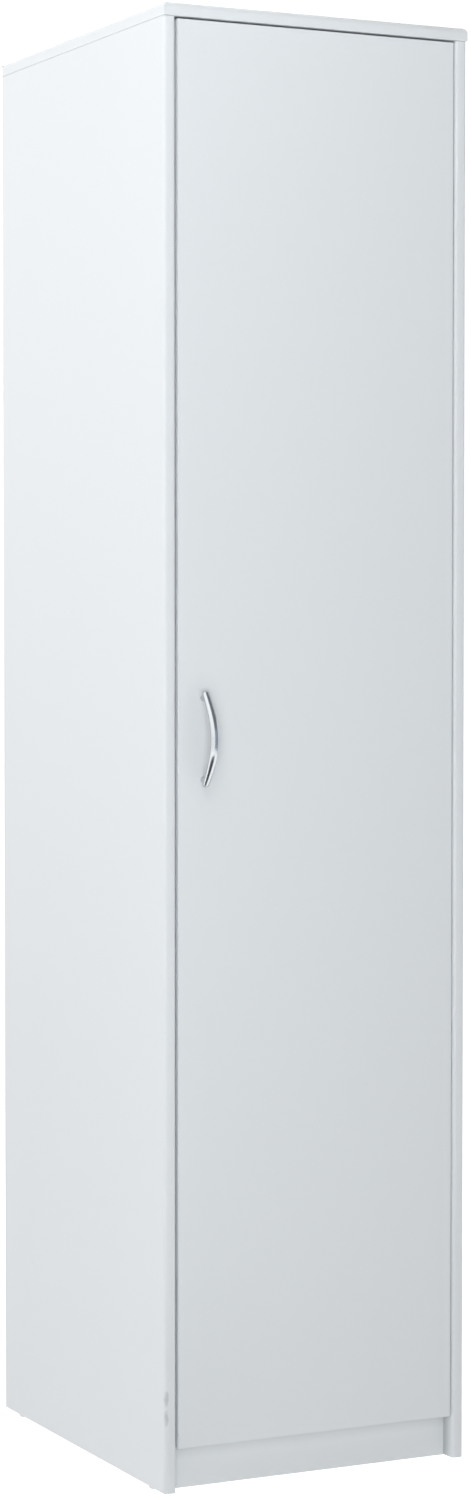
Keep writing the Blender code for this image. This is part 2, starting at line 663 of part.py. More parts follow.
def hinge_arm(place, height):
    """The cranked arm: a channel whose forked tip holds the link's pin."""
    tip_half = ARM_THICK / 2
    plate_face = PLATE_THICK - DOOR_HINGE_GAP + SEAT
    room_side = [(plate_face + ARM_THICK, ARM_END), (plate_face + ARM_THICK, ARM_CRANK_START),
                 (ARM_PIVOT[0] + tip_half, ARM_CRANK_END), (ARM_PIVOT[0] + tip_half, ARM_PIVOT[1])]
    wall_side = mitred(room_side, ARM_THICK)
    tip = arc(ARM_PIVOT, tip_half, 0, -180, CAP_STEPS)
    outline = room_side[:-1] + tip + wall_side[-2::-1]
    arm = plate(place + "_hinge_arm", [in_world(outline)], ARM_HALF_WIDTH, (0, 0, height))
    gap = LINK_HALF_WIDTH + LINK_SIDE_PLAY
    web_side = mitred(room_side, ARM_WEB)
    far_side = mitred(room_side, ARM_THICK + OVERSHOOT)
    channel = plate(place + "_arm_channel", [in_world(web_side + far_side[::-1])], gap, (0, 0, height))
    cut(arm, channel)
    fork_back = ARM_PIVOT[1] + LINK_EYE_RADIUS + SEAT
    fork_front = ARM_PIVOT[1] - ARM_THICK
    corners = in_world([(ARM_PIVOT[0] + ARM_THICK, fork_front), (ARM_PIVOT[0] - ARM_THICK, fork_back)])
    cut(arm, box(place + "_arm_fork", (*corners[0], height - gap), (*corners[1], height + gap)))
    x, y = hinge_plan(ARM_PIVOT)
    through = ARM_HALF_WIDTH + OVERSHOOT
    cut(arm, rod(place + "_arm_pin_bore", (x, y, height - through), (x, y, height + through),
                 PIN_BORE, COARSE))
    return finish(arm, NICKEL)


def hinge_plate(place, height):
    """The cross-shaped mounting plate on the side panel: a block for the arm and two screwed wings."""
    near = hinge_plan((-DOOR_HINGE_GAP + SEAT, PLATE_START))
    far = hinge_plan((PLATE_THICK - DOOR_HINGE_GAP, ARM_END))
    low = (far[0], near[1], height - PLATE_HALF_WIDTH)
    high = (near[0], far[1], height + PLATE_HALF_WIDTH)
    half = PLATE_THICK / 2 - SEAT
    base = box(place + "_hinge_plate", low, high, lambda middle: middle.x < -half,
               SMALL_EDGE_RADIUS)
    wing_x = near[0] - PLATE_WING_THICK / 2
    wing_y = hinge_plan((0.0, PLATE_WING_PLACE))[1]
    wings = plate(place + "_plate_wings",
                  screwed_oval(PLATE_WING_LENGTH, PLATE_WING_WIDTH, PLATE_SCREW_SPACING),
                  PLATE_WING_THICK / 2, (wing_x, wing_y, height), ENDWAYS)
    cut(base, wings, "UNION")
    return finish(base, NICKEL)


def link_outline():
    """The bowed link in plan: a round eye at each pivot and a thin waist between."""
    start, end = Vector(DOOR_PIVOT), Vector(ARM_PIVOT)
    way = (end - start).normalized()
    across = Vector((way.y, -way.x))
    length = (end - start).length
    radius = (length ** 2 / 4 + LINK_BOW ** 2) / (2 * LINK_BOW)
    centre = start + way * (length / 2) + across * (LINK_BOW - radius)
    spread = math.asin(length / 2 / radius)
    outer, inner = [], []
    for index in range(1, LINK_STEPS):
        share = 2 * index / LINK_STEPS - 1
        turn = share * spread
        ray = across * math.cos(turn) + way * math.sin(turn)
        half = LINK_WAIST + (LINK_EYE_RADIUS - LINK_WAIST) * abs(share) ** LINK_FLARE_POWER
        outer.append(tuple(centre + ray * (radius + half)))
        inner.append(tuple(centre + ray * (radius - half)))
    heading = math.degrees(math.atan2(way.y, way.x))
    end_way = heading + math.degrees(spread)
    start_way = heading - math.degrees(spread) + 180
    end_cap = arc(end, LINK_EYE_RADIUS, end_way - LINK_CAP_SPREAD, end_way + LINK_CAP_SPREAD, CAP_STEPS)
    start_cap = arc(start, LINK_EYE_RADIUS, start_way - LINK_CAP_SPREAD, start_way + LINK_CAP_SPREAD,
                    CAP_STEPS)
    return outer + end_cap + inner[::-1] + start_cap


def hinge_link(place, height):
    """The link between the arm and the door."""
    link = plate(place + "_hinge_link", [in_world(link_outline())], LINK_HALF_WIDTH, (0, 0, height))
    through = LINK_HALF_WIDTH + OVERSHOOT
    for end, pivot in (("arm", ARM_PIVOT), ("door", DOOR_PIVOT)):
        x, y = hinge_plan(pivot)
        cut(link, rod("%s_link_%s_bore" % (place, end), (x, y, height - through),
                      (x, y, height + through), PIN_BORE, COARSE))
    return finish(link, NICKEL)


def hinge_cup(place, height):
    """The cup let into the door, with a rim, two ears and a notch for the link."""
    x, floor_y = hinge_plan((CUP_CENTRE, -CUP_DEPTH))
    rim_y = DOOR_BACK_Y + SEAT
    rim_top = rim_y + CUP_RIM_THICK
    cup = rod(place + "_hinge_cup", (x, floor_y, height), (x, rim_top, height), CUP_RADIUS, FINE)
    cut(cup, rod(place + "_cup_rim", (x, rim_y, height), (x, rim_top, height), CUP_RIM_RADIUS, FINE), "UNION")
    ears = plate(place + "_cup_ears", screwed_oval(CUP_EAR_LENGTH, CUP_EAR_WIDTH, CUP_SCREW_SPACING),
                 CUP_RIM_THICK / 2, (x, rim_y + CUP_RIM_THICK / 2, height), BACKWARDS)
    cut(cup, ears, "UNION")
    cut(cup, rod(place + "_cup_pocket", (x, floor_y + CUP_WALL, height),
                 (x, rim_top + OVERSHOOT, height), CUP_RADIUS - CUP_WALL, FINE))
    notch_x = hinge_plan((CUP_CENTRE - CUP_RADIUS / 2, 0.0))[0]
    cut(cup, box(place + "_cup_notch",
                 (notch_x, DOOR_BACK_Y - CUP_NOTCH_DEPTH, height - CUP_NOTCH_HALF_WIDTH),
                 (DOOR_HINGE_X + OVERSHOOT, rim_top + OVERSHOOT, height + CUP_NOTCH_HALF_WIDTH)))
    pin_x, pin_y = hinge_plan(DOOR_PIVOT)
    cut(cup, rod(place + "_cup_pin_bore", (pin_x, pin_y, height - CUP_RADIUS),
                 (pin_x, pin_y, height + CUP_RADIUS), PIN_BORE, COARSE))
    return finish(cup, NICKEL)


def cup_pin_half_length():
    """Half the door pin's length: across the pocket and halfway into the cup's wall."""
    offset = CUP_CENTRE - DOOR_PIVOT[0]
    middle_of_wall = CUP_RADIUS - CUP_WALL / 2
    return math.sqrt(middle_of_wall ** 2 - offset ** 2)


def hinge(place, height):
    """One concealed hinge; gives its link and the pieces that swing with the door."""
    hinge_arm(place, height)
    hinge_plate(place, height)
    x, y = hinge_plan(ARM_PIVOT)
    half = ARM_HALF_WIDTH - SEAT
    finish(rod(place + "_arm_pin", (x, y, height - half), (x, y, height + half), PIN_RADIUS, COARSE), ZINC)
    link = hinge_link(place, height)
    cup = hinge_cup(place, height)
    x, y = hinge_plan(DOOR_PIVOT)
    half = cup_pin_half_length()
    pin = rod(place + "_cup_pin", (x, y, height - half), (x, y, height + half), PIN_RADIUS, COARSE)
    finish(pin, ZINC)
    return link, [cup, pin]


for side_name in SIDES:
    side_panel(side_name)
top_panel()
bottom_deck()
plain_boards()
small_fittings()
clothes_rail()

door_pieces = [door_panel(), bow_handle()] + door_fittings()
links = []
for hinge_name, hinge_height in HINGE_HEIGHTS.items():
    hinge_link_piece, swinging = hinge(hinge_name, hinge_height)
    links.append(hinge_link_piece)
    door_pieces += swinging
carry("link_axis", (*hinge_plan(ARM_PIVOT), 0.0), links)
carry("door_axis", (*hinge_plan(DOOR_PIVOT), 0.0), door_pieces)
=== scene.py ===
"""Dresses the tall single-door wardrobe: laminate, hardboard, chrome and plated fittings.

Everything is in metres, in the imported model's own frame: +Z up, front towards -Y.
"""

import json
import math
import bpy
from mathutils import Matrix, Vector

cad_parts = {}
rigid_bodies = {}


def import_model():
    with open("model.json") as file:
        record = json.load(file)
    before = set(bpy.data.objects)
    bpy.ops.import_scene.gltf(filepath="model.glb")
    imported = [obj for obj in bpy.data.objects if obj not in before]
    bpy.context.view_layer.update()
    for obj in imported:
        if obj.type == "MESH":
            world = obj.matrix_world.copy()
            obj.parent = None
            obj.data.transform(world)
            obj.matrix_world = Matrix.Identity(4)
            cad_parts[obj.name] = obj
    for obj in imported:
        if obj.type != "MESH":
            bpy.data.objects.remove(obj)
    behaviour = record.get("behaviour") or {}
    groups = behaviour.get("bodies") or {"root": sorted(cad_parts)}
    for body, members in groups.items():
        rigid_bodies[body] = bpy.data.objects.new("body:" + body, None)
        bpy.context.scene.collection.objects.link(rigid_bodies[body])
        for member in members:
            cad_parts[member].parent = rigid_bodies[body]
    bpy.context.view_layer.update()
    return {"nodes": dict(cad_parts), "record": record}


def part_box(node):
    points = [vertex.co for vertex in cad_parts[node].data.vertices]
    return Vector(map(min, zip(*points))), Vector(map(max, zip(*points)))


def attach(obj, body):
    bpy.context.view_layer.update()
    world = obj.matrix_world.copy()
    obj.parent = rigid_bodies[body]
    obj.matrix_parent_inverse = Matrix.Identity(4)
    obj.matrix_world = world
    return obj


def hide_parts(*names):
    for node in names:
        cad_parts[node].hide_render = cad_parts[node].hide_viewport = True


bl_info = {
    "name": "Wardrobe Dressing",
    "version": (1, 0, 0),
    "blender": (4, 5, 0),
    "location": "View3D > Sidebar > Wardrobe",
    "description": "Finishes, fasteners and a studio stage for a tall single-door wardrobe",
    "category": "Object",
}

import bmesh
import bpy
from mathutils import Matrix, Vector

for leftover in list(bpy.data.objects):
    bpy.data.objects.remove(leftover, do_unlink=True)
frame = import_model()

MM = 0.001
UP = Vector((0.0, 0.0, 1.0))
BACKWARD = Vector((0.0, 1.0, 0.0))
LEFTWARD = Vector((-1.0, 0.0, 0.0))

BOARDS = ("left_side_panel", "right_side_panel", "top_panel", "bottom_deck", "plinth_board", "hat_shelf",
          "door_panel")
RAW_BACKED = ("left_side_panel", "right_side_panel", "top_panel", "bottom_deck", "hat_shelf")
RAIL_PIECES = ("clothes_rail", "left_rail_socket", "right_rail_socket")
HINGES = ("lower", "middle", "upper")
HINGE_PIECES = ("hinge_arm", "hinge_plate", "hinge_link", "hinge_cup", "arm_pin", "cup_pin")
HANDLE_SCREWS = ("lower_handle_screw", "upper_handle_screw")
SLOT_OF = {row["node"]: row["material_slot"] for row in frame["record"]["subparts"]}
BODY_OF = {node: body for body, nodes in frame["record"]["behaviour"]["bodies"].items() for node in nodes}


class LaminateLook(bpy.types.PropertyGroup):
    """The boards' white melamine face."""

    colour: bpy.props.FloatVectorProperty(
        name="Colour", description="Colour of the printed paper", subtype="COLOR", size=3, min=0, max=1,
        default=(0.806, 0.834, 0.853))
    roughness: bpy.props.FloatProperty(
        name="Roughness", description="How dull the face is", subtype="FACTOR", min=0, max=1, default=0.4)
    pearl: bpy.props.FloatProperty(
        name="Pearl size", description="Size of the pressed pearl in the face", unit="LENGTH",
        default=1.1 * MM)
    edge_ease: bpy.props.FloatProperty(
        name="Eased edge", description="Rounding of the boards' cut edges", unit="LENGTH", default=0.45 * MM)
    band: bpy.props.FloatProperty(
        name="Edge band", description="Thickness of the glued edge band", unit="LENGTH", default=0.8 * MM)
    chip_colour: bpy.props.FloatVectorProperty(
        name="Chipboard", description="Colour of the bare chipboard", subtype="COLOR", size=3, min=0, max=1,
        default=(0.43, 0.31, 0.19))
    chip_size: bpy.props.FloatProperty(
        name="Chip size", description="Size of the chips in a bare edge", unit="LENGTH", default=2.4 * MM)


class SheetLook(bpy.types.PropertyGroup):
    """The hardboard back."""

    face: bpy.props.FloatVectorProperty(
        name="Face", description="Colour of the painted inner face", subtype="COLOR", size=3, min=0, max=1,
        default=(0.76, 0.78, 0.79))
    fibre: bpy.props.FloatVectorProperty(
        name="Fibre", description="Colour of the bare hardboard", subtype="COLOR", size=3, min=0, max=1,
        default=(0.27, 0.165, 0.085))
    edge_ease: bpy.props.FloatProperty(
        name="Eased edge", description="Rounding of the sheet's edges", unit="LENGTH", default=0.3 * MM)
    nail_spacing: bpy.props.FloatProperty(
        name="Nail spacing", description="Distance between nails round the edge", unit="LENGTH",
        default=140 * MM)
    nail_radius: bpy.props.FloatProperty(
        name="Nail head", description="Radius of a nail's head", unit="LENGTH", default=2.6 * MM)


class MetalLook(bpy.types.PropertyGroup):
    """The handle, the rail, the hinges and the small fittings."""

    chrome: bpy.props.FloatVectorProperty(
        name="Chrome", description="Tint of the chrome plate", subtype="COLOR", size=3, min=0, max=1,
        default=(0.60, 0.625, 0.65))
    chrome_roughness: bpy.props.FloatProperty(
        name="Chrome roughness", description="Haze on the chrome", subtype="FACTOR", min=0, max=1,
        default=0.2)
    nickel: bpy.props.FloatVectorProperty(
        name="Nickel", description="Tint of the nickel plate", subtype="COLOR", size=3, min=0, max=1,
        default=(0.66, 0.64, 0.60))
    zinc: bpy.props.FloatVectorProperty(
        name="Zinc", description="Tint of the zinc plate", subtype="COLOR", size=3, min=0, max=1,
        default=(0.60, 0.62, 0.65))
    edge_ease: bpy.props.FloatProperty(
        name="Eased edge", description="Rounding of the metal's edges", unit="LENGTH", default=0.18 * MM)
    screw_radius: bpy.props.FloatProperty(
        name="Screw head", description="Radius of the hinges' screw heads", unit="LENGTH", default=3.4 * MM)
    screw_height: bpy.props.FloatProperty(
        name="Screw crown", description="Height of a screw head over its plate", unit="LENGTH",
        default=1.3 * MM)


class HandleShape(bpy.types.PropertyGroup):
    """The bow handle's bar and posts."""

    thickness: bpy.props.FloatProperty(
        name="Thickness", description="Bar thickness, away from the door", unit="LENGTH", default=7.5 * MM)
    tip_lift: bpy.props.FloatProperty(
        name="Tip lift", description="Height of the bar's middle line over the door at its tips",
        unit="LENGTH", default=4 * MM)
    bend: bpy.props.FloatProperty(
        name="Bend", description="Length over which the bow turns at its middle", unit="LENGTH",
        default=45 * MM)
    tip_taper: bpy.props.FloatProperty(
        name="Tip taper", description="How much thinner the bar is at its tips", subtype="FACTOR",
        min=0, max=1, default=0.15)
    tip_round: bpy.props.FloatProperty(
        name="Tip round", description="Length over which a tip rounds off", unit="LENGTH", default=3.5 * MM)
    half_length: bpy.props.FloatProperty(
        name="Half length", description="Height of a tip over the bar's middle", unit="LENGTH",
        default=56.25 * MM)
    post_spacing: bpy.props.FloatProperty(
        name="Post spacing", description="Distance between the posts", unit="LENGTH", default=96 * MM)
    post_radius: bpy.props.FloatProperty(
        name="Post radius", description="Radius of a post", unit="LENGTH", default=4 * MM)


def box_place(where, default):
    """The place of a soft box, as a setting."""
    return bpy.props.FloatVectorProperty(
        name="Box " + where, description="Place of the soft box " + where, subtype="TRANSLATION",
        unit="LENGTH", size=3, default=default)


def box_size(where, default):
    """The width and height of a soft box, as a setting."""
    return bpy.props.FloatVectorProperty(
        name="Size " + where, description="Width and height of the soft box " + where, unit="LENGTH", size=2,
        default=default)


def box_power(where, default):
    """The power of a soft box, as a setting."""
    return bpy.props.FloatProperty(
        name="Power " + where, description="Power of the soft box " + where, unit="POWER", default=default)


class StageLook(bpy.types.PropertyGroup):
    """The camera, the lights and the white sweep."""

    left_place: box_place("on the left", (-2.1, 0.8, 2.0))
    left_size: box_size("on the left", (1.4, 2.2))
    left_power: box_power("on the left", 22)
    front_place: box_place("in front", (-0.8, -1.6, 0.65))
    front_size: box_size("in front", (0.7, 1.4))
    front_power: box_power("in front", 9.2)
    top_place: box_place("over the front", (-0.6, -1.1, 2.3))
    top_size: box_size("over the front", (0.8, 0.8))
    top_power: box_power("over the front", 7)
    right_place: box_place("on the right", (2.3, 0.9, 1.6))
    right_size: box_size("on the right", (1.4, 2.2))
    right_power: box_power("on the right", 14)
    over_place: box_place("straight above", (0.0, 0.3, 3.0))
    over_size: box_size("straight above", (0.4, 1.0))
    over_power: box_power("straight above", 6)
    lamp_colour: bpy.props.FloatVectorProperty(
        name="Lamp colour", description="Colour of the two boxes at the front", subtype="COLOR", size=3,
        min=0, max=1, default=(0.95, 0.98, 1.0))
    room_light: bpy.props.FloatProperty(
        name="Room light", description="Even light from all round above the floor", min=0, max=2,
        default=0.22)
    wall_light: bpy.props.FloatProperty(
        name="Wall light", description="Light off the white wall behind", min=0, max=4, default=0.3)
    floor_light: bpy.props.FloatProperty(
        name="Floor light", description="Light that comes up off the white floor", min=0, max=4, default=0.78)
    sweep_colour: bpy.props.FloatVectorProperty(
        name="Sweep", description="Colour of the floor and the backdrop", subtype="COLOR", size=3,
        min=0, max=1, default=(0.8, 0.8, 0.8))
    sweep_glow: bpy.props.FloatProperty(
        name="Sweep glow", description="How far the sweep is lit up to white", min=0, max=2, default=0.88)
    camera_place: bpy.props.FloatVectorProperty(
        name="Camera", description="Place of the camera", subtype="TRANSLATION", unit="LENGTH", size=3,
        default=(-1.85095, -3.75997, 1.03053))
    camera_yaw: bpy.props.FloatProperty(
        name="Camera yaw", description="Turn of the camera towards the right", subtype="ANGLE",
        default=math.radians(26.2533))
    camera_pitch: bpy.props.FloatProperty(
        name="Camera pitch", description="Tilt of the camera below level", subtype="ANGLE",
        default=math.radians(2.1926))
    camera_lens: bpy.props.FloatProperty(
        name="Lens", description="Focal length of the camera in millimetres", default=80.08)


class Wire:
    """One socket of a node tree. Arithmetic on it adds Math nodes."""

    def __init__(self, tree, socket):
        self.tree = tree
        self.socket = socket

    def math(self, operation, *values):
        """A Math node on values or wires."""
        return add_node(self.tree, "ShaderNodeMath", {"operation": operation}, dict(enumerate(values)))

    def __add__(self, other):
        return self.math("ADD", self, other)

    def __radd__(self, other):
        return self.math("ADD", other, self)

    def __sub__(self, other):
        return self.math("SUBTRACT", self, other)

    def __rsub__(self, other):
        return self.math("SUBTRACT", other, self)

    def __mul__(self, other):
        return self.math("MULTIPLY", self, other)

    def __rmul__(self, other):
        return self.math("MULTIPLY", other, self)

    def __truediv__(self, other):
        return self.math("DIVIDE", self, other)

    def __rtruediv__(self, other):
        return self.math("DIVIDE", other, self)

    def __abs__(self):
        return self.math("ABSOLUTE", self)

    def above(self, limit):
        """1 where this is over the limit."""
        return self.math("GREATER_THAN", self, limit)

    def below(self, limit):
        """1 where this is under the limit."""
        return self.math("LESS_THAN", self, limit)

    def least(self, other):
        """The smaller of two values."""
        return self.math("MINIMUM", self, other)

    def most(self, other):
        """The larger of two values."""
        return self.math("MAXIMUM", self, other)

    def fade(self, start, end):
        """A soft step from 0 at start to 1 at end."""
        settings = {"interpolation_type": "SMOOTHSTEP"}
        return add_node(self.tree, "ShaderNodeMapRange", settings,
                        {"Value": self, "From Min": start, "From Max": end})


def add_node(tree, kind, settings=None, inputs=None, output=0):
    """Add a node with its settings first, then its socket values or links; gives one output."""
    node = tree.nodes.new(kind)
    for name, value in (settings or {}).items():
        setattr(node, name, value)
    for name, value in (inputs or {}).items():
        if isinstance(value, Wire):
            tree.links.new(value.socket, node.inputs[name])
        else:
            node.inputs[name].default_value = value
    return Wire(tree, node.outputs[output])


# Sockets of the Mix node that hold colours
MIX_FIRST = 6
MIX_SECOND = 7
MIX_RESULT = 2

# Detail of the noise, from even swells to fine crumbs
SMOOTH = 1.0
SOFT = 2.0
CLOUDY = 3.0
BROKEN = 4.0


class Finish:
    """A material in the making, with the patterns that the finishes share."""

    def __init__(self, name):
        self.material = bpy.data.materials.new(name)
        self.material.use_nodes = True
        self.tree = self.material.node_tree
        self.shader = self.tree.nodes["Principled BSDF"]
        self.place = self.add("ShaderNodeTexCoord", output="Object")

    def add(self, kind, settings=None, inputs=None, output=0):
        """Add a node to this material."""
        return add_node(self.tree, kind, settings, inputs, output)

    def parts(self, vector):
        """The three numbers of a vector."""
        return [self.add("ShaderNodeSeparateXYZ", None, {"Vector": vector}, axis) for axis in "XYZ"]

    def facing(self):
        """The three numbers of the way that the surface faces."""
        return self.parts(self.add("ShaderNodeTexCoord", output="Normal"))

    def stretched(self, scale):
        """The place on the piece, scaled along each axis."""
        return self.add("ShaderNodeVectorMath", {"operation": "MULTIPLY"}, {0: self.place, 1: scale})

    def noise(self, size, detail=SOFT, roughness=0.5, place=None):
        """Cloudy noise with features of a given size."""
        inputs = {"Vector": place or self.place, "Scale": 1.0 / size, "Detail": detail,
                  "Roughness": roughness}
        return self.add("ShaderNodeTexNoise", None, inputs, "Fac")

    def cells(self, size, place, output):
        """Chips of a given size: the distance to a chip's middle, or the chip's own colour."""
        return self.add("ShaderNodeTexVoronoi", None, {"Vector": place, "Scale": 1.0 / size}, output)

    def mix(self, factor, first, second):
        """Blend two colours."""
        first, second = (value if isinstance(value, Wire) else (*value, 1.0) for value in (first, second))
        inputs = {"Factor": factor, MIX_FIRST: first, MIX_SECOND: second}
        return self.add("ShaderNodeMix", {"data_type": "RGBA"}, inputs, MIX_RESULT)

    def shaded(self, factor, colour, shades):
        """Blend between two shades of one colour."""
        return self.mix(factor, scaled(colour, shades[0]), scaled(colour, shades[1]))

    def set(self, **constants):
        """Set sockets of the shader that are the same all over; underscores stand for spaces."""
        for name, value in constants.items():
            self.shader.inputs[name.replace("_", " ")].default_value = value

    def feed(self, name, wire):
        """Link a pattern to one of the shader's sockets."""
        self.tree.links.new(wire.socket, self.shader.inputs[name])

    def bump(self, height, depth):
        """Press a pattern into the surface, to a depth in metres."""
        self.feed("Normal", self.add("ShaderNodeBump", None, {"Height": height, "Distance": depth}, "Normal"))


def scaled(colour, factor):
    """A colour made lighter or darker."""
    return tuple(channel * factor for channel in colour)


# Finishes: how square on to an axis a face has to be, and how far back from the front a mark reaches

SQUARE_ON = 0.9
MARK_DEPTH = 7 * MM

# Laminate

DRIFT_SIZE = 500 * MM
DRIFT_SHADES = (1.006, 1.0)
CLOUD_SIZE = 220 * MM
CLOUD_SHARE = 0.5
CLOUD_SHADE = 0.985
DUST_HEIGHT = 300 * MM
DUST_SIZE = 12 * MM
DUST_SPREAD = 0.5
DUST_SHARE = 0.06
DUST_SHADE = 0.8
PEARL_DEPTH = 0.02 * MM
PEARL_COARSE = 0.55
PEARL_FINE = 0.2
FINE_PEARL_SIZE = 0.35
SHEEN_SIZE = 45 * MM
SHEEN_SPREAD = 0.1
LAMINATE_GLOSS = 0.45
RAW_EDGE_DEPTH = 4 * MM
RAW_DULLNESS = 0.45
CHIP_STRETCH = (1.0, 1.0, 0.55)
CHIP_SHADES = (0.7, 1.35)
CHIP_RELIEF = 6.0
# Boards that get painted shade in the recess under the door
RECESSED = ("left_side_panel", "right_side_panel", "plinth_board")


def laminate(board, look):
    """White melamine on chipboard: pressed pearl, band lines at cut edges, bare chips at the rear edges."""
    finish = Finish(board + "_laminate")
    x, y, z = finish.parts(finish.place)
    facing_x, facing_y, facing_z = finish.facing()
    low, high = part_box(board)

    white = finish.shaded(finish.noise(DRIFT_SIZE, SMOOTH), look.colour, DRIFT_SHADES)
    cloud = finish.noise(CLOUD_SIZE, CLOUDY) * CLOUD_SHARE
    white = finish.mix(cloud, white, scaled(look.colour, CLOUD_SHADE))
    specks = finish.noise(DUST_SIZE, BROKEN) * DUST_SPREAD + (1 - DUST_SPREAD)
    dust = (1 - z.fade(0.0, DUST_HEIGHT)) * specks * DUST_SHARE
    white = finish.mix(dust, white, scaled(look.colour, DUST_SHADE))

    if board == "door_panel":
        # Painted shadow on the door round the handle
        white = finish.mix(handle_painted_shadow(finish, x, y, z, low), white, scaled(look.colour, HANDLE_SHADOW_SHADE))
        inset = (x - low.x).least(high.x - x).least((z - low.z).least(high.z - z))
        white = band_line(finish, look, inset, facing_y, white)
    if board in ("hat_shelf", "bottom_deck"):
        white = band_line(finish, look, y - low.y, facing_z, white)
    # Painted shade in the recess under the door
    if board in RECESSED:
        white = finish.mix(recess_painted_shade(board, y, z, facing_x), white, scaled(look.colour, PAINTED_RECESS_SHADE))
    if board == "left_side_panel":
        white = finish.mix(rubs(finish, x, y, z, low), white, scaled(look.colour, RUB_SHADE))

    raw = 0.0
    fine_pearl = finish.noise(look.pearl * FINE_PEARL_SIZE, SMOOTH)
    pearl = finish.noise(look.pearl) * PEARL_COARSE + fine_pearl * PEARL_FINE
    if board in RAW_BACKED:
        raw = facing_y.above(SQUARE_ON) * y.above(high.y - RAW_EDGE_DEPTH)
        place = finish.stretched(CHIP_STRETCH)
        chip = finish.cells(look.chip_size, place, "Color")
        tone = finish.add("ShaderNodeSeparateColor", None, {"Color": chip}, 0)
        white = finish.mix(raw, white, finish.shaded(tone, look.chip_colour, CHIP_SHADES))
        pearl = pearl * (1 - raw) + finish.cells(look.chip_size, place, "Distance") * raw * CHIP_RELIEF
    sheen = finish.noise(SHEEN_SIZE, BROKEN) * SHEEN_SPREAD + (look.roughness - SHEEN_SPREAD / 2)
    finish.feed("Base Color", white)
    finish.feed("Roughness", sheen + raw * RAW_DULLNESS)
    finish.bump(pearl, PEARL_DEPTH)
    finish.set(Specular_IOR_Level=LAMINATE_GLOSS)
    return finish.material


BAND_LINE = 0.12 * MM
BAND_LINE_SHARE = 0.35
BAND_LINE_SHADE = 0.55


def band_line(finish, look, inset, facing, white):
    """Draw the fine glue line that an edge band leaves on the board's faces."""
    line = abs(inset - look.band).below(BAND_LINE) * abs(facing).above(SQUARE_ON)
    return finish.mix(line * BAND_LINE_SHARE, white, scaled(look.colour, BAND_LINE_SHADE))


RUB_HEIGHTS = (93 * MM, 116 * MM)
RUB_INSET = 3 * MM
RUB_HALF_WIDTH = 2.7 * MM
RUB_HALF_HEIGHT = 10.5 * MM
RUB_CRUMB = 6 * MM
RUB_RAGGED = 1.6
RUB_FADE = 1.2
RUB_SHARE = 0.62
RUB_SHADE = 0.6


def rubs(finish, x, y, z, low):
    """Two small grey rubs on the rounded front corner near the foot."""
    across = (x - (low.x + RUB_INSET)) / RUB_HALF_WIDTH
    ragged = finish.noise(RUB_CRUMB, CLOUDY) * RUB_RAGGED - RUB_RAGGED / 2
    marks = 0.0
    for height in RUB_HEIGHTS:
        along = (z - height) / RUB_HALF_HEIGHT
        marks = (1 - (across * across + along * along + ragged).fade(0.0, RUB_FADE)) + marks
    return marks * y.below(low.y + MARK_DEPTH) * RUB_SHARE


# Painted shade in the recess under the door, on the plinth and the sides' inner faces
RECESS_FADE = 15 * MM
RECESS_SHOWN = 5 * MM
SIDE_PAINTED_SHADE = 0.65
PLINTH_PAINTED_SHADE = 0.18
PAINTED_RECESS_SHADE = 0.55


def recess_painted_shade(board, y, z, facing_x):
    """Painted shade in the recess under the door: on the plinth's top and the sides' inner faces."""
    door_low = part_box("door_panel")[0]
    if board == "plinth_board":
        start = door_low.z - RECESS_SHOWN
        return z.fade(start - RECESS_FADE, start) * PLINTH_PAINTED_SHADE
    inward = facing_x.above(SQUARE_ON) if board == "left_side_panel" else facing_x.below(-SQUARE_ON)
    deep = y.fade(door_low.y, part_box("plinth_board")[0].y)
    return inward * deep * (1 - z.fade(door_low.z, door_low.z + RECESS_FADE)) * SIDE_PAINTED_SHADE


# Painted shadow on the door round the handle
HANDLE_SHADOW_HALF_WIDTH = 38 * MM
HANDLE_SHADOW_HALF_HEIGHT = 85 * MM
HANDLE_SHADOW_CRUMB = 9 * MM
HANDLE_SHADOW_SPREAD = 0.5
HANDLE_SHADOW_LEAST = 0.75
HANDLE_SHADOW_SHARE = 0.5
HANDLE_SHADOW_SHADE = 0.87


def handle_painted_shadow(finish, x, y, z, low):
    """Painted shadow on the door round the handle: a faint, uneven grey."""
    handle_low, handle_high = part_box("bow_handle")
    across = (x - (handle_low.x + handle_high.x) / 2) / HANDLE_SHADOW_HALF_WIDTH
    along = (z - (handle_low.z + handle_high.z) / 2) / HANDLE_SHADOW_HALF_HEIGHT
    near = 1 - (across * across + along * along).fade(0.0, 1.0)
    uneven = finish.noise(HANDLE_SHADOW_CRUMB, CLOUDY) * HANDLE_SHADOW_SPREAD + HANDLE_SHADOW_LEAST
    return near * y.below(low.y + MARK_DEPTH) * uneven * HANDLE_SHADOW_SHARE


# Hardboard

FACING_IN = -0.5
FIBRE_SIZE = 1.2 * MM
FIBRE_CRISPNESS = 0.65
FIBRE_STRETCH = (1.0, 1.0, 0.35)
FIBRE_SHADES = (0.62, 1.45)
FIBRE_DEPTH = 0.06 * MM
FIBRE_DULLNESS = 0.25
STAIN_SIZE = 120 * MM
STAIN_SHARE = 0.5
STAIN_SHADE = 0.8
PAINT_CLOUD_SIZE = 200 * MM
PAINT_SHADES = (1.0, 0.97)
PAINT_RELIEF = 0.2
PAINT_SHEEN_SIZE = 30 * MM
PAINT_SHEEN_SPREAD = 0.08
PAINT_ROUGHNESS = 0.46


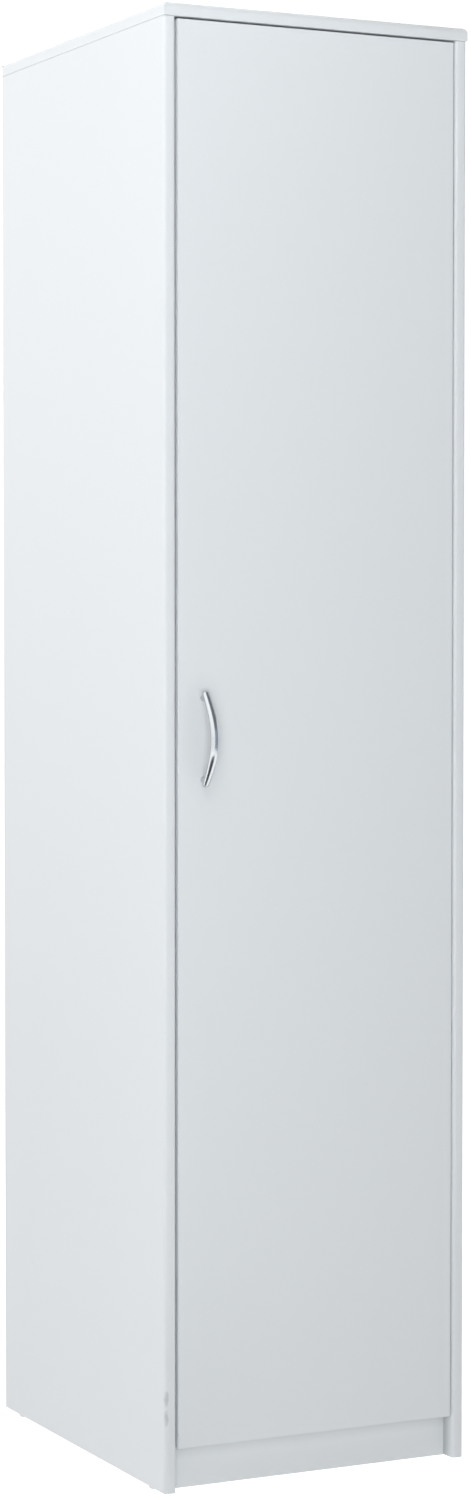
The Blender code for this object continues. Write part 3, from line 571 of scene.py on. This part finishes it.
def hardboard(look):
    """Hardboard: white paint towards the inside, bare brown fibre behind."""
    finish = Finish("back_sheet")
    behind = finish.facing()[1].above(FACING_IN)
    fibre = finish.noise(FIBRE_SIZE, BROKEN, FIBRE_CRISPNESS, finish.stretched(FIBRE_STRETCH))
    brown = finish.shaded(fibre, look.fibre, FIBRE_SHADES)
    stain = finish.noise(STAIN_SIZE, BROKEN) * STAIN_SHARE
    brown = finish.mix(stain, brown, scaled(look.fibre, STAIN_SHADE))
    paint = finish.shaded(finish.noise(PAINT_CLOUD_SIZE, CLOUDY), look.face, PAINT_SHADES)
    sheen = finish.noise(PAINT_SHEEN_SIZE) * PAINT_SHEEN_SPREAD + PAINT_ROUGHNESS
    finish.feed("Base Color", finish.mix(behind, paint, brown))
    finish.feed("Roughness", sheen + behind * FIBRE_DULLNESS)
    finish.bump(fibre * (behind * (1 - PAINT_RELIEF) + PAINT_RELIEF), FIBRE_DEPTH)
    return finish.material


# Metals

HAZE_SIZE = 14 * MM
HAZE_SHARE = 0.4
HAZE_SHADES = (1.0, 0.93)
HAZE_SPREAD = 0.06


def chrome(look):
    """Bright chrome plate with a faint haze from hands."""
    finish = Finish("chrome_plate")
    haze = finish.noise(HAZE_SIZE, BROKEN)
    finish.feed("Base Color", finish.shaded(haze * HAZE_SHARE, look.chrome, HAZE_SHADES))
    finish.feed("Roughness", haze * HAZE_SPREAD + (look.chrome_roughness - HAZE_SPREAD / 2))
    finish.set(Metallic=1.0)
    return finish.material


DRAWN_SIZE = 0.5 * MM
DRAWN_STRETCH = (1.0, 0.08, 1.0)
DRAWN_SPREAD = 0.12
DRAWN_DEPTH = 0.008 * MM
TARNISH_SIZE = 9 * MM
TARNISH_SHARE = 0.5
TARNISH_SHADES = (1.0, 0.82)
TARNISH_SPREAD = 0.08
NICKEL_ROUGHNESS = 0.2


def nickel(look):
    """Nickel plate on pressed steel, with fine drawing lines."""
    finish = Finish("nickel_plate")
    drawn = finish.noise(DRAWN_SIZE, place=finish.stretched(DRAWN_STRETCH))
    tarnish = finish.noise(TARNISH_SIZE, CLOUDY)
    finish.feed("Base Color", finish.shaded(tarnish * TARNISH_SHARE, look.nickel, TARNISH_SHADES))
    finish.feed("Roughness", drawn * DRAWN_SPREAD + tarnish * TARNISH_SPREAD + NICKEL_ROUGHNESS)
    finish.bump(drawn, DRAWN_DEPTH)
    finish.set(Metallic=1.0)
    return finish.material


BLOOM_SIZE = 6 * MM
BLOOM_BLUE = 0.92
BLOOM_STRAW = (1.0, 0.95, 0.8)
BLOOM_SPREAD = 0.2
ZINC_ROUGHNESS = 0.28
ZINC_GRAIN = 0.35 * MM
ZINC_GRAIN_DEPTH = 0.01 * MM


def zinc(look):
    """Zinc plate with the blue and straw bloom of its passivation."""
    finish = Finish("zinc_plate")
    bloom = finish.noise(BLOOM_SIZE, CLOUDY)
    straw = tuple(channel * share for channel, share in zip(look.zinc, BLOOM_STRAW))
    finish.feed("Base Color", finish.mix(bloom, scaled(look.zinc, BLOOM_BLUE), straw))
    finish.feed("Roughness", bloom * BLOOM_SPREAD + ZINC_ROUGHNESS)
    finish.bump(finish.noise(ZINC_GRAIN), ZINC_GRAIN_DEPTH)
    finish.set(Metallic=1.0)
    return finish.material


# Plastics

WHITE_PLASTIC = ((0.80, 0.80, 0.78), (0.74, 0.74, 0.71))
PLASTIC_GRAIN = 0.6 * MM
PLASTIC_GRAIN_DEPTH = 0.015 * MM
PLASTIC_SPREAD = 0.12
PLASTIC_ROUGHNESS = 0.42


def white_plastic(_look):
    """Moulded white plastic."""
    finish = Finish("white_plastic")
    grain = finish.noise(PLASTIC_GRAIN)
    finish.feed("Base Color", finish.mix(grain, *WHITE_PLASTIC))
    finish.feed("Roughness", grain * PLASTIC_SPREAD + PLASTIC_ROUGHNESS)
    finish.bump(grain, PLASTIC_GRAIN_DEPTH)
    return finish.material


CLEAR_PLASTIC = ((0.86, 0.88, 0.88), (0.74, 0.77, 0.78))
MILK_SIZE = 1.5 * MM
MILK_SPREAD = 0.15
CLEAR_ROUGHNESS = 0.2
CLEARNESS = 0.55
CLEAR_IOR = 1.45


def clear_plastic(_look):
    """A soft clear bumper, slightly milky."""
    finish = Finish("clear_bumper")
    milk = finish.noise(MILK_SIZE)
    finish.feed("Base Color", finish.mix(milk, *CLEAR_PLASTIC))
    finish.feed("Roughness", milk * MILK_SPREAD + CLEAR_ROUGHNESS)
    finish.set(Transmission_Weight=CLEARNESS, IOR=CLEAR_IOR)
    return finish.material


MAKERS = {"chrome": chrome, "nickel": nickel, "zinc": zinc, "white_plastic": white_plastic,
          "clear_plastic": clear_plastic}
made_finishes = {}


def metal_or_plastic(slot):
    """The finish of one of the record's slots, made once."""
    if slot not in made_finishes:
        made_finishes[slot] = MAKERS[slot](bpy.context.scene.wardrobe_metal)
    return made_finishes[slot]


# Building pieces

WELD = 0.005 * MM
FLAT_ANGLE = math.radians(0.5)
EASE_ANGLE = math.radians(35)
SHARP_ANGLE = math.radians(38)
ON_FACE = 0.02 * MM
EASE_STEPS = 2
ROUND_PROFILE = 0.5


def as_piece(build, name, body, material, stands_for=()):
    """Turn a mesh in the making into a finished piece that rides on its body."""
    mesh = bpy.data.meshes.new(name)
    build.to_mesh(mesh)
    build.free()
    mesh.materials.append(material)
    mesh.shade_smooth()
    mesh.set_sharp_from_angle(angle=SHARP_ANGLE)
    piece = bpy.data.objects.new(name, mesh)
    bpy.context.scene.collection.objects.link(piece)
    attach(piece, body)
    if stands_for:
        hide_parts(*stands_for)
    normals = piece.modifiers.new("even_normals", "WEIGHTED_NORMAL")
    normals.keep_sharp = True
    return piece


def plated(node, build, suffix="_plated"):
    """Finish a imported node's new shape in the node's own metal or plastic."""
    slot = SLOT_OF[node]
    return as_piece(build, node + suffix, BODY_OF[node], metal_or_plastic(slot), (node,))


def cleaned(node):
    """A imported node's mesh with its triangles joined into whole faces."""
    build = bmesh.new()
    build.from_mesh(frame["nodes"][node].data)
    bmesh.ops.remove_doubles(build, verts=build.verts, dist=WELD)
    bmesh.ops.dissolve_limit(build, angle_limit=FLAT_ANGLE, verts=build.verts, edges=build.edges)
    return build


def on_outline(edge, low, high):
    """Whether an edge runs along the corner of a box."""
    sides = 0
    for axis in range(3):
        values = [vert.co[axis] for vert in edge.verts]
        for limit in (low[axis], high[axis]):
            sides += all(abs(value - limit) < ON_FACE for value in values)
    return sides >= 2


def eased_node(node, width, outline_only=False):
    """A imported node's own shape with softened edges."""
    build = cleaned(node)
    edges = [edge for edge in build.edges if edge.is_manifold and edge.calc_face_angle() > EASE_ANGLE]
    if outline_only:
        low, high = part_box(node)
        edges = [edge for edge in edges if on_outline(edge, low, high)]
    bmesh.ops.bevel(build, geom=edges, offset=width, segments=EASE_STEPS, profile=ROUND_PROFILE,
                    affect="EDGES", clamp_overlap=True)
    return build


def loft(build, rings, closed=True):
    """Skin a row of rings that have the same count of points, and close its ends, or skin an open sheet."""
    rows = [[build.verts.new(point) for point in ring] for ring in rings]
    for near, far in zip(rows, rows[1:]):
        for index in range(len(near) if closed else len(near) - 1):
            following = (index + 1) % len(near)
            build.faces.new((near[index], near[following], far[following], far[index]))
    if closed:
        build.faces.new(rows[0][::-1])
        build.faces.new(rows[-1])


def turned(build, profile, place, axis, sides):
    """A turned shape from radius and height pairs along an axis."""
    turn = Vector(axis).to_track_quat("Z", "Y")
    rings = []
    for radius, height in profile:
        ring = []
        for step in range(sides):
            angle = 2 * math.pi * step / sides
            point = Vector((radius * math.cos(angle), radius * math.sin(angle), height))
            ring.append(Vector(place) + turn @ point)
        rings.append(ring)
    loft(build, rings)


def combined(first, second, operation):
    """Join two meshes in the making, or cut the second out of the first."""
    objects = []
    for build in (first, second):
        bmesh.ops.recalc_face_normals(build, faces=build.faces)
        mesh = bpy.data.meshes.new("shape")
        build.to_mesh(mesh)
        build.free()
        objects.append(bpy.data.objects.new("shape", mesh))
        bpy.context.scene.collection.objects.link(objects[-1])
    boolean = objects[0].modifiers.new("combine", "BOOLEAN")
    boolean.operation = operation
    boolean.solver = "EXACT"
    boolean.object = objects[1]
    evaluated = objects[0].evaluated_get(bpy.context.evaluated_depsgraph_get())
    result = bmesh.new()
    result.from_mesh(evaluated.to_mesh())
    evaluated.to_mesh_clear()
    for obj in objects:
        mesh = obj.data
        bpy.data.objects.remove(obj, do_unlink=True)
        bpy.data.meshes.remove(mesh)
    return result


# Handle

HANDLE_RINGS = 96
HANDLE_SIDES = 48
POST_SIDES = 40
POST_GAP = 0.3 * MM
TIP_CUT = 0.995


def bow_lift(shape, along, top_lift):
    """How far the bar's middle line stands off the door, a given way from its centre."""
    sag = math.hypot(1.0, along / shape.bend) - 1.0
    full_sag = math.hypot(1.0, shape.half_length / shape.bend) - 1.0
    return shape.tip_lift + (top_lift - shape.tip_lift) * (1.0 - sag / full_sag)


def bow_bar(shape, centre, width, top_lift):
    """The bar: an oval section along the bow, thinner and rounded off at the tips."""
    half = shape.half_length
    step = half / HANDLE_RINGS
    rings = []
    for index in range(HANDLE_RINGS + 1):
        share = -math.cos(math.pi * index / HANDLE_RINGS)
        along = share * half
        rise = bow_lift(shape, along + step, top_lift) - bow_lift(shape, along - step, top_lift)
        way = Vector((0.0, -rise, 2 * step)).normalized()
        out = way.cross(LEFTWARD)
        to_tip = max(0.0, (abs(along) - (half - shape.tip_round)) / shape.tip_round)
        size = (1.0 - shape.tip_taper * share ** 2) * math.sqrt(1.0 - min(to_tip, TIP_CUT) ** 2)
        middle = centre + Vector((0.0, -bow_lift(shape, along, top_lift), along))
        ring = []
        for side in range(HANDLE_SIDES):
            angle = 2 * math.pi * side / HANDLE_SIDES
            across = width / 2 * size * math.cos(angle)
            away = shape.thickness / 2 * size * math.sin(angle)
            ring.append(middle - LEFTWARD * across + out * away)
        rings.append(ring)
    build = bmesh.new()
    loft(build, rings)
    return build


class WARDROBE_OT_handle(bpy.types.Operator):
    """Make the chrome bow handle"""

    bl_idname = "wardrobe.handle"
    bl_label = "Bow Handle"

    def execute(self, context):
        shape = context.scene.wardrobe_handle
        low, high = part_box("bow_handle")
        door_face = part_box("door_panel")[0].y
        centre = Vector(((low.x + high.x) / 2, door_face, (low.z + high.z) / 2))
        top_lift = door_face - low.y - shape.thickness / 2
        build = bow_bar(shape, centre, high.x - low.x, top_lift)
        for turn in (-1, 1):
            along = turn * shape.post_spacing / 2
            post = bmesh.new()
            profile = [(shape.post_radius, POST_GAP), (shape.post_radius, bow_lift(shape, along, top_lift))]
            turned(post, profile, centre + along * UP, -BACKWARD, POST_SIDES)
            build = combined(build, post, "UNION")
        as_piece(build, "bow_handle_bar", "door", metal_or_plastic("chrome"), ("bow_handle",))
        return {"FINISHED"}


class WARDROBE_OT_boards(bpy.types.Operator):
    """Give the boards eased edges and their laminate"""

    bl_idname = "wardrobe.boards"
    bl_label = "Boards"

    def execute(self, context):
        look = context.scene.wardrobe_laminate
        for board in BOARDS:
            build = eased_node(board, look.edge_ease, outline_only=True)
            as_piece(build, board + "_board", BODY_OF[board], laminate(board, look), (board,))
        return {"FINISHED"}


# Fasteners: the heads are given as shares of their radius and height, from the foot up

SCREW_SIDES = 28
SCREW_CROWN = ((0.6, -1.0), (0.94, -0.1), (1.0, 0.0), (0.97, 0.4), (0.7, 0.85), (0.25, 1.0))
RECESS_REACH = 0.62
RECESS_WIDTH = 0.22
RECESS_DEPTH = 1.1 * MM
CUBE_SIDE = 2.0
NAIL_SIDES = 16
NAIL_THICK = 0.5 * MM
NAIL_INSET = 6.5 * MM
NAIL_HEAD = ((1.0, 0.0), (0.9, 0.7), (0.5, 1.0))
TURN_STEP = 0.7


def cross_cut(head, radius, place, axis):
    """Cut a cross recess into the end of a screw head."""
    aim = Vector(axis).to_track_quat("Z", "Y").to_matrix()
    for size in ((RECESS_REACH, RECESS_WIDTH), (RECESS_WIDTH, RECESS_REACH)):
        bar = bmesh.new()
        bmesh.ops.create_cube(bar, size=CUBE_SIDE)
        bmesh.ops.scale(bar, verts=bar.verts, vec=(radius * size[0], radius * size[1], RECESS_DEPTH))
        bmesh.ops.rotate(bar, verts=bar.verts, matrix=aim)
        bmesh.ops.translate(bar, verts=bar.verts, vec=place)
        head = combined(head, bar, "DIFFERENCE")
    return head


def cross_screw(radius, height):
    """A countersunk screw head with a cross recess, standing on the origin along Z."""
    head = bmesh.new()
    profile = [(radius * across, height * up) for across, up in SCREW_CROWN]
    turned(head, profile, (0, 0, 0), UP, SCREW_SIDES)
    head = cross_cut(head, radius, height * UP, UP)
    mesh = bpy.data.meshes.new("cross_screw")
    head.to_mesh(mesh)
    head.free()
    return mesh


def placed_copies(mesh, places, axis):
    """Copies of a mesh along an axis, each turned by hand a little differently."""
    build = bmesh.new()
    aim = Vector(axis).to_track_quat("Z", "Y").to_matrix().to_4x4()
    for index, place in enumerate(places):
        copy = mesh.copy()
        copy.transform(Matrix.Translation(place) @ aim @ Matrix.Rotation(index * TURN_STEP, 4, "Z"))
        build.from_mesh(copy)
        bpy.data.meshes.remove(copy)
    return build


def nail_places(look):
    """Nails round the edge of the back, at an even spacing."""
    low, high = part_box("back_panel")
    left, right = low.x + NAIL_INSET, high.x - NAIL_INSET
    bottom, top = low.z + NAIL_INSET, high.z - NAIL_INSET
    rows = round((top - bottom) / look.nail_spacing)
    columns = round((right - left) / look.nail_spacing)
    places = []
    for row in range(rows + 1):
        height = bottom + (top - bottom) * row / rows
        places += [Vector((left, high.y, height)), Vector((right, high.y, height))]
    for column in range(1, columns):
        across = left + (right - left) * column / columns
        places += [Vector((across, high.y, bottom)), Vector((across, high.y, top))]
    return places


class WARDROBE_OT_back(bpy.types.Operator):
    """Give the back its hardboard and nail it on"""

    bl_idname = "wardrobe.back"
    bl_label = "Back and Nails"

    def execute(self, context):
        look = context.scene.wardrobe_sheet
        build = eased_node("back_panel", look.edge_ease)
        as_piece(build, "back_sheet", "carcass", hardboard(look), ("back_panel",))
        nails = bmesh.new()
        profile = [(look.nail_radius * across, NAIL_THICK * up) for across, up in NAIL_HEAD]
        for place in nail_places(look):
            turned(nails, profile, place, BACKWARD, NAIL_SIDES)
        as_piece(nails, "back_nails", "carcass", metal_or_plastic("zinc"))
        return {"FINISHED"}


class WARDROBE_OT_rail(bpy.types.Operator):
    """Polish the clothes rail and its sockets"""

    bl_idname = "wardrobe.rail"
    bl_label = "Clothes Rail"

    def execute(self, context):
        for node in RAIL_PIECES:
            plated(node, eased_node(node, context.scene.wardrobe_metal.edge_ease))
        return {"FINISHED"}


# Hinges

CUP_RIM_RADIUS = 19 * MM
CUP_SCREW_SPACING = 48 * MM
ARM_WEB_RISE = 7.3 * MM
ARM_SCREW_INSETS = (12 * MM, 30 * MM)
WING_THICK = 2.5 * MM
WING_INSET = 11 * MM
WING_SCREW_SPACING = 32 * MM


def cup_screw_places(hinge):
    """On the ears of the cup, above and below it."""
    low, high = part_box(hinge + "_hinge_cup")
    middle = Vector((low.x + CUP_RIM_RADIUS, high.y, (low.z + high.z) / 2))
    return [middle + UP * turn * CUP_SCREW_SPACING / 2 for turn in (-1, 1)]


def wing_screw_places(hinge):
    """On the wings of the mounting plate, above and below it."""
    low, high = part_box(hinge + "_hinge_plate")
    middle = Vector((high.x - WING_THICK, low.y + WING_INSET, (low.z + high.z) / 2))
    return [middle + UP * turn * WING_SCREW_SPACING / 2 for turn in (-1, 1)]


def arm_screw_places(hinge):
    """On the arm's web: one screw that fixes the arm and one that adjusts it."""
    low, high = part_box(hinge + "_hinge_arm")
    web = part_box(hinge + "_hinge_plate")[0].x - ARM_WEB_RISE
    return [Vector((web, high.y - inset, (low.z + high.z) / 2)) for inset in ARM_SCREW_INSETS]


class WARDROBE_OT_hinges(bpy.types.Operator):
    """Plate the hinges and put in their screws"""

    bl_idname = "wardrobe.hinges"
    bl_label = "Hinges"

    def execute(self, context):
        look = context.scene.wardrobe_metal
        for hinge in HINGES:
            for part in HINGE_PIECES:
                node = hinge + "_" + part
                plated(node, eased_node(node, look.edge_ease))
        screw = cross_screw(look.screw_radius, look.screw_height)
        for name, body, axis, find in (("cup_screws", "door", BACKWARD, cup_screw_places),
                                       ("plate_screws", "carcass", LEFTWARD, wing_screw_places),
                                       ("arm_screws", "carcass", LEFTWARD, arm_screw_places)):
            places = [place for hinge in HINGES for place in find(hinge)]
            as_piece(placed_copies(screw, places, axis), name, body, metal_or_plastic("zinc"))
        bpy.data.meshes.remove(screw)
        return {"FINISHED"}


class WARDROBE_OT_fittings(bpy.types.Operator):
    """Plate the cams, bolts, pins and handle screws, and make the glides and the bumper"""

    bl_idname = "wardrobe.fittings"
    bl_label = "Small Fittings"

    def execute(self, context):
        ease_width = context.scene.wardrobe_metal.edge_ease
        done = {"bow_handle", "back_panel", *BOARDS, *RAIL_PIECES}
        done |= {hinge + "_" + part for hinge in HINGES for part in HINGE_PIECES}
        for node in sorted(set(frame["nodes"]) - done):
            build = eased_node(node, ease_width)
            if node in HANDLE_SCREWS:
                low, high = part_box(node)
                end = Vector(((low.x + high.x) / 2, high.y, (low.z + high.z) / 2))
                build = cross_cut(build, (high.x - low.x) / 2, end, BACKWARD)
            plated(node, build, "_finished")
        return {"FINISHED"}


# Stage: each profile is radius and height, and a cloth's turns are counted from +X round its centre

SOFT_BOXES = ("left", "front", "top", "right", "over")
COOL_BOXES = ("front", "top")
WHITE = (1.0, 1.0, 1.0)
BLACK = (0.0, 0.0, 0.0)
AIM = Vector((0.0, 0.0, 1.0))
SWEEP_PROFILE = ((30.0, 0.0), (35.0, 1.0), (38.0, 4.0), (40.0, 10.0), (40.0, 25.0), (30.0, 38.0),
                 (10.0, 44.0))
SWEEP_SIDES = 96
SWEEP_TOOTH = 4 * MM
SWEEP_SHADES = (1.0, 0.985)
SWEEP_ROUGHNESS = 0.9
CLOTH_CENTRE = Vector((-0.15, -0.26, 0.0))
CLOTH_STEPS = 24
CLOTH_WEAVE = 3 * MM
CLOTH_SHADES = (1.0, 0.9)
FLOOR_CLOTH = ((0.05, 0.01), (1.0, 0.01))
FLOOR_CLOTH_TURNS = (math.radians(-165), math.radians(-60))
FLOOR_CLOTH_GREY = (0.05, 0.05, 0.055)
LEVEL_CLOTH = ((1.8, 0.01), (4.5, 0.01), (5.0, 0.8), (5.0, 3.0))
LEVEL_CLOTH_TURNS = (math.radians(-90), math.radians(-15))
LEVEL_CLOTH_GREY = (0.40, 0.46, 0.53)
UPPER_CLOTH = ((5.0, 3.0), (3.5, 5.0), (1.0, 6.0))
UPPER_CLOTH_TURNS = (math.radians(-90), math.radians(0))
UPPER_CLOTH_GREY = (0.22, 0.23, 0.245)
HORIZON = (-0.25, 0.05)
RAY_KINDS = ("camera", "diffuse", "glossy", "transmission", "volume_scatter", "shadow")


def stage_object(build, name, material, rays):
    """A stage piece that only some kinds of ray meet."""
    mesh = bpy.data.meshes.new(name)
    build.to_mesh(mesh)
    build.free()
    mesh.materials.append(material)
    mesh.shade_smooth()
    obj = bpy.data.objects.new(name, mesh)
    bpy.context.scene.collection.objects.link(obj)
    for kind in RAY_KINDS:
        setattr(obj, "visible_" + kind, kind in rays)


def white_sweep(look):
    """A pale floor that turns up into a backdrop all round, lit up to white."""
    finish = Finish("white_sweep")
    tooth = finish.noise(SWEEP_TOOTH, CLOUDY)
    finish.feed("Base Color", finish.shaded(tooth, look.sweep_colour, SWEEP_SHADES))
    finish.set(Roughness=SWEEP_ROUGHNESS, Emission_Color=(*WHITE, 1.0), Emission_Strength=look.sweep_glow)
    build = bmesh.new()
    turned(build, SWEEP_PROFILE, (0, 0, 0), UP, SWEEP_SIDES)
    stage_object(build, "white_sweep", finish.material, ("camera", "glossy"))


def grey_cloth(name, profile, turns, grey):
    """A grey cloth round the handle that only reflections show, for the streaks in the chrome."""
    finish = Finish(name)
    weave = finish.noise(CLOTH_WEAVE)
    finish.feed("Emission Color", finish.shaded(weave, grey, CLOTH_SHADES))
    finish.set(Base_Color=(*BLACK, 1.0), Specular_IOR_Level=0.0, Emission_Strength=1.0)
    first, last = turns
    steps = [first + (last - first) * step / CLOTH_STEPS for step in range(CLOTH_STEPS + 1)]
    ways = [Vector((math.cos(turn), math.sin(turn), 0.0)) for turn in steps]
    build = bmesh.new()
    loft(build, [[CLOTH_CENTRE + way * radius + UP * up for way in ways] for radius, up in profile],
         closed=False)
    stage_object(build, name, finish.material, ("glossy",))


def set_world(look):
    """Even light all round, more off the white wall behind, and the light off the white floor."""
    world = bpy.data.worlds.new("studio")
    bpy.context.scene.world = world
    world.use_nodes = True
    tree = world.node_tree
    way = add_node(tree, "ShaderNodeTexCoord", output="Generated")
    behind = add_node(tree, "ShaderNodeSeparateXYZ", None, {"Vector": way}, "Y").most(0.0)
    above = add_node(tree, "ShaderNodeSeparateXYZ", None, {"Vector": way}, "Z").fade(*HORIZON)
    light = (behind * look.wall_light + look.room_light) * above + (1 - above) * look.floor_light
    tree.nodes["Background"].inputs["Color"].default_value = (*WHITE, 1.0)
    tree.links.new(light.socket, tree.nodes["Background"].inputs["Strength"])


def soft_box(name, place, size, power, colour):
    """Hang a soft box that looks at the middle of the wardrobe."""
    lamp = bpy.data.lights.new(name, "AREA")
    lamp.shape = "RECTANGLE"
    lamp.size, lamp.size_y = size
    lamp.energy = power
    lamp.color = colour
    box = bpy.data.objects.new(name, lamp)
    bpy.context.scene.collection.objects.link(box)
    box.location = place
    box.rotation_euler = (AIM - box.location).to_track_quat("-Z", "Y").to_euler()
    box.visible_camera = False
    box.visible_glossy = False


class WARDROBE_OT_stage(bpy.types.Operator):
    """Set the sweep, the cloths, the lights and the camera"""

    bl_idname = "wardrobe.stage"
    bl_label = "Studio Stage"

    def execute(self, context):
        scene = context.scene
        look = scene.wardrobe_stage
        white_sweep(look)
        grey_cloth("floor_cloth", FLOOR_CLOTH, FLOOR_CLOTH_TURNS, FLOOR_CLOTH_GREY)
        grey_cloth("level_cloth", LEVEL_CLOTH, LEVEL_CLOTH_TURNS, LEVEL_CLOTH_GREY)
        grey_cloth("upper_cloth", UPPER_CLOTH, UPPER_CLOTH_TURNS, UPPER_CLOTH_GREY)
        set_world(look)
        for side in SOFT_BOXES:
            place, size, power = (getattr(look, side + "_" + field) for field in ("place", "size", "power"))
            colour = look.lamp_colour if side in COOL_BOXES else WHITE
            soft_box(side + "_soft_box", place, size, power, colour)
        lens = bpy.data.cameras.new("camera")
        lens.lens = look.camera_lens
        camera = bpy.data.objects.new("camera", lens)
        scene.collection.objects.link(camera)
        camera.location = look.camera_place
        camera.rotation_euler = (math.pi / 2 - look.camera_pitch, 0.0, -look.camera_yaw)
        scene.camera = camera
        scene.view_settings.view_transform = "Standard"
        return {"FINISHED"}


class WARDROBE_PT_panel(bpy.types.Panel):
    """Lists the steps that dress the wardrobe"""

    bl_idname = "WARDROBE_PT_panel"
    bl_label = "Wardrobe"
    bl_space_type = "VIEW_3D"
    bl_region_type = "UI"
    bl_category = "Wardrobe"

    def draw(self, context):
        for operator in OPERATORS:
            self.layout.operator(operator.bl_idname)
        for name in SETTINGS:
            group = getattr(context.scene, name)
            box = self.layout.box()
            for field in group.bl_rna.properties.keys():
                if field not in ("rna_type", "name"):
                    box.prop(group, field)


SETTINGS = {"wardrobe_laminate": LaminateLook, "wardrobe_sheet": SheetLook, "wardrobe_metal": MetalLook,
            "wardrobe_handle": HandleShape, "wardrobe_stage": StageLook}
OPERATORS = (WARDROBE_OT_boards, WARDROBE_OT_back, WARDROBE_OT_rail, WARDROBE_OT_hinges,
             WARDROBE_OT_fittings, WARDROBE_OT_handle, WARDROBE_OT_stage)


def register():
    """Register the classes and hang the settings on the scene."""
    for cls in (*SETTINGS.values(), *OPERATORS, WARDROBE_PT_panel):
        bpy.utils.register_class(cls)
    for name, group in SETTINGS.items():
        setattr(bpy.types.Scene, name, bpy.props.PointerProperty(type=group))


def unregister():
    """Take the settings and the classes away again."""
    for name in SETTINGS:
        delattr(bpy.types.Scene, name)
    for cls in (WARDROBE_PT_panel, *reversed(OPERATORS), *reversed(SETTINGS.values())):
        bpy.utils.unregister_class(cls)


def main():
    """Dress the wardrobe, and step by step."""
    register()
    bpy.ops.wardrobe.boards()
    bpy.ops.wardrobe.back()
    bpy.ops.wardrobe.rail()
    bpy.ops.wardrobe.hinges()
    bpy.ops.wardrobe.fittings()
    bpy.ops.wardrobe.handle()
    bpy.ops.wardrobe.stage()


if __name__ == "__main__":
    main()
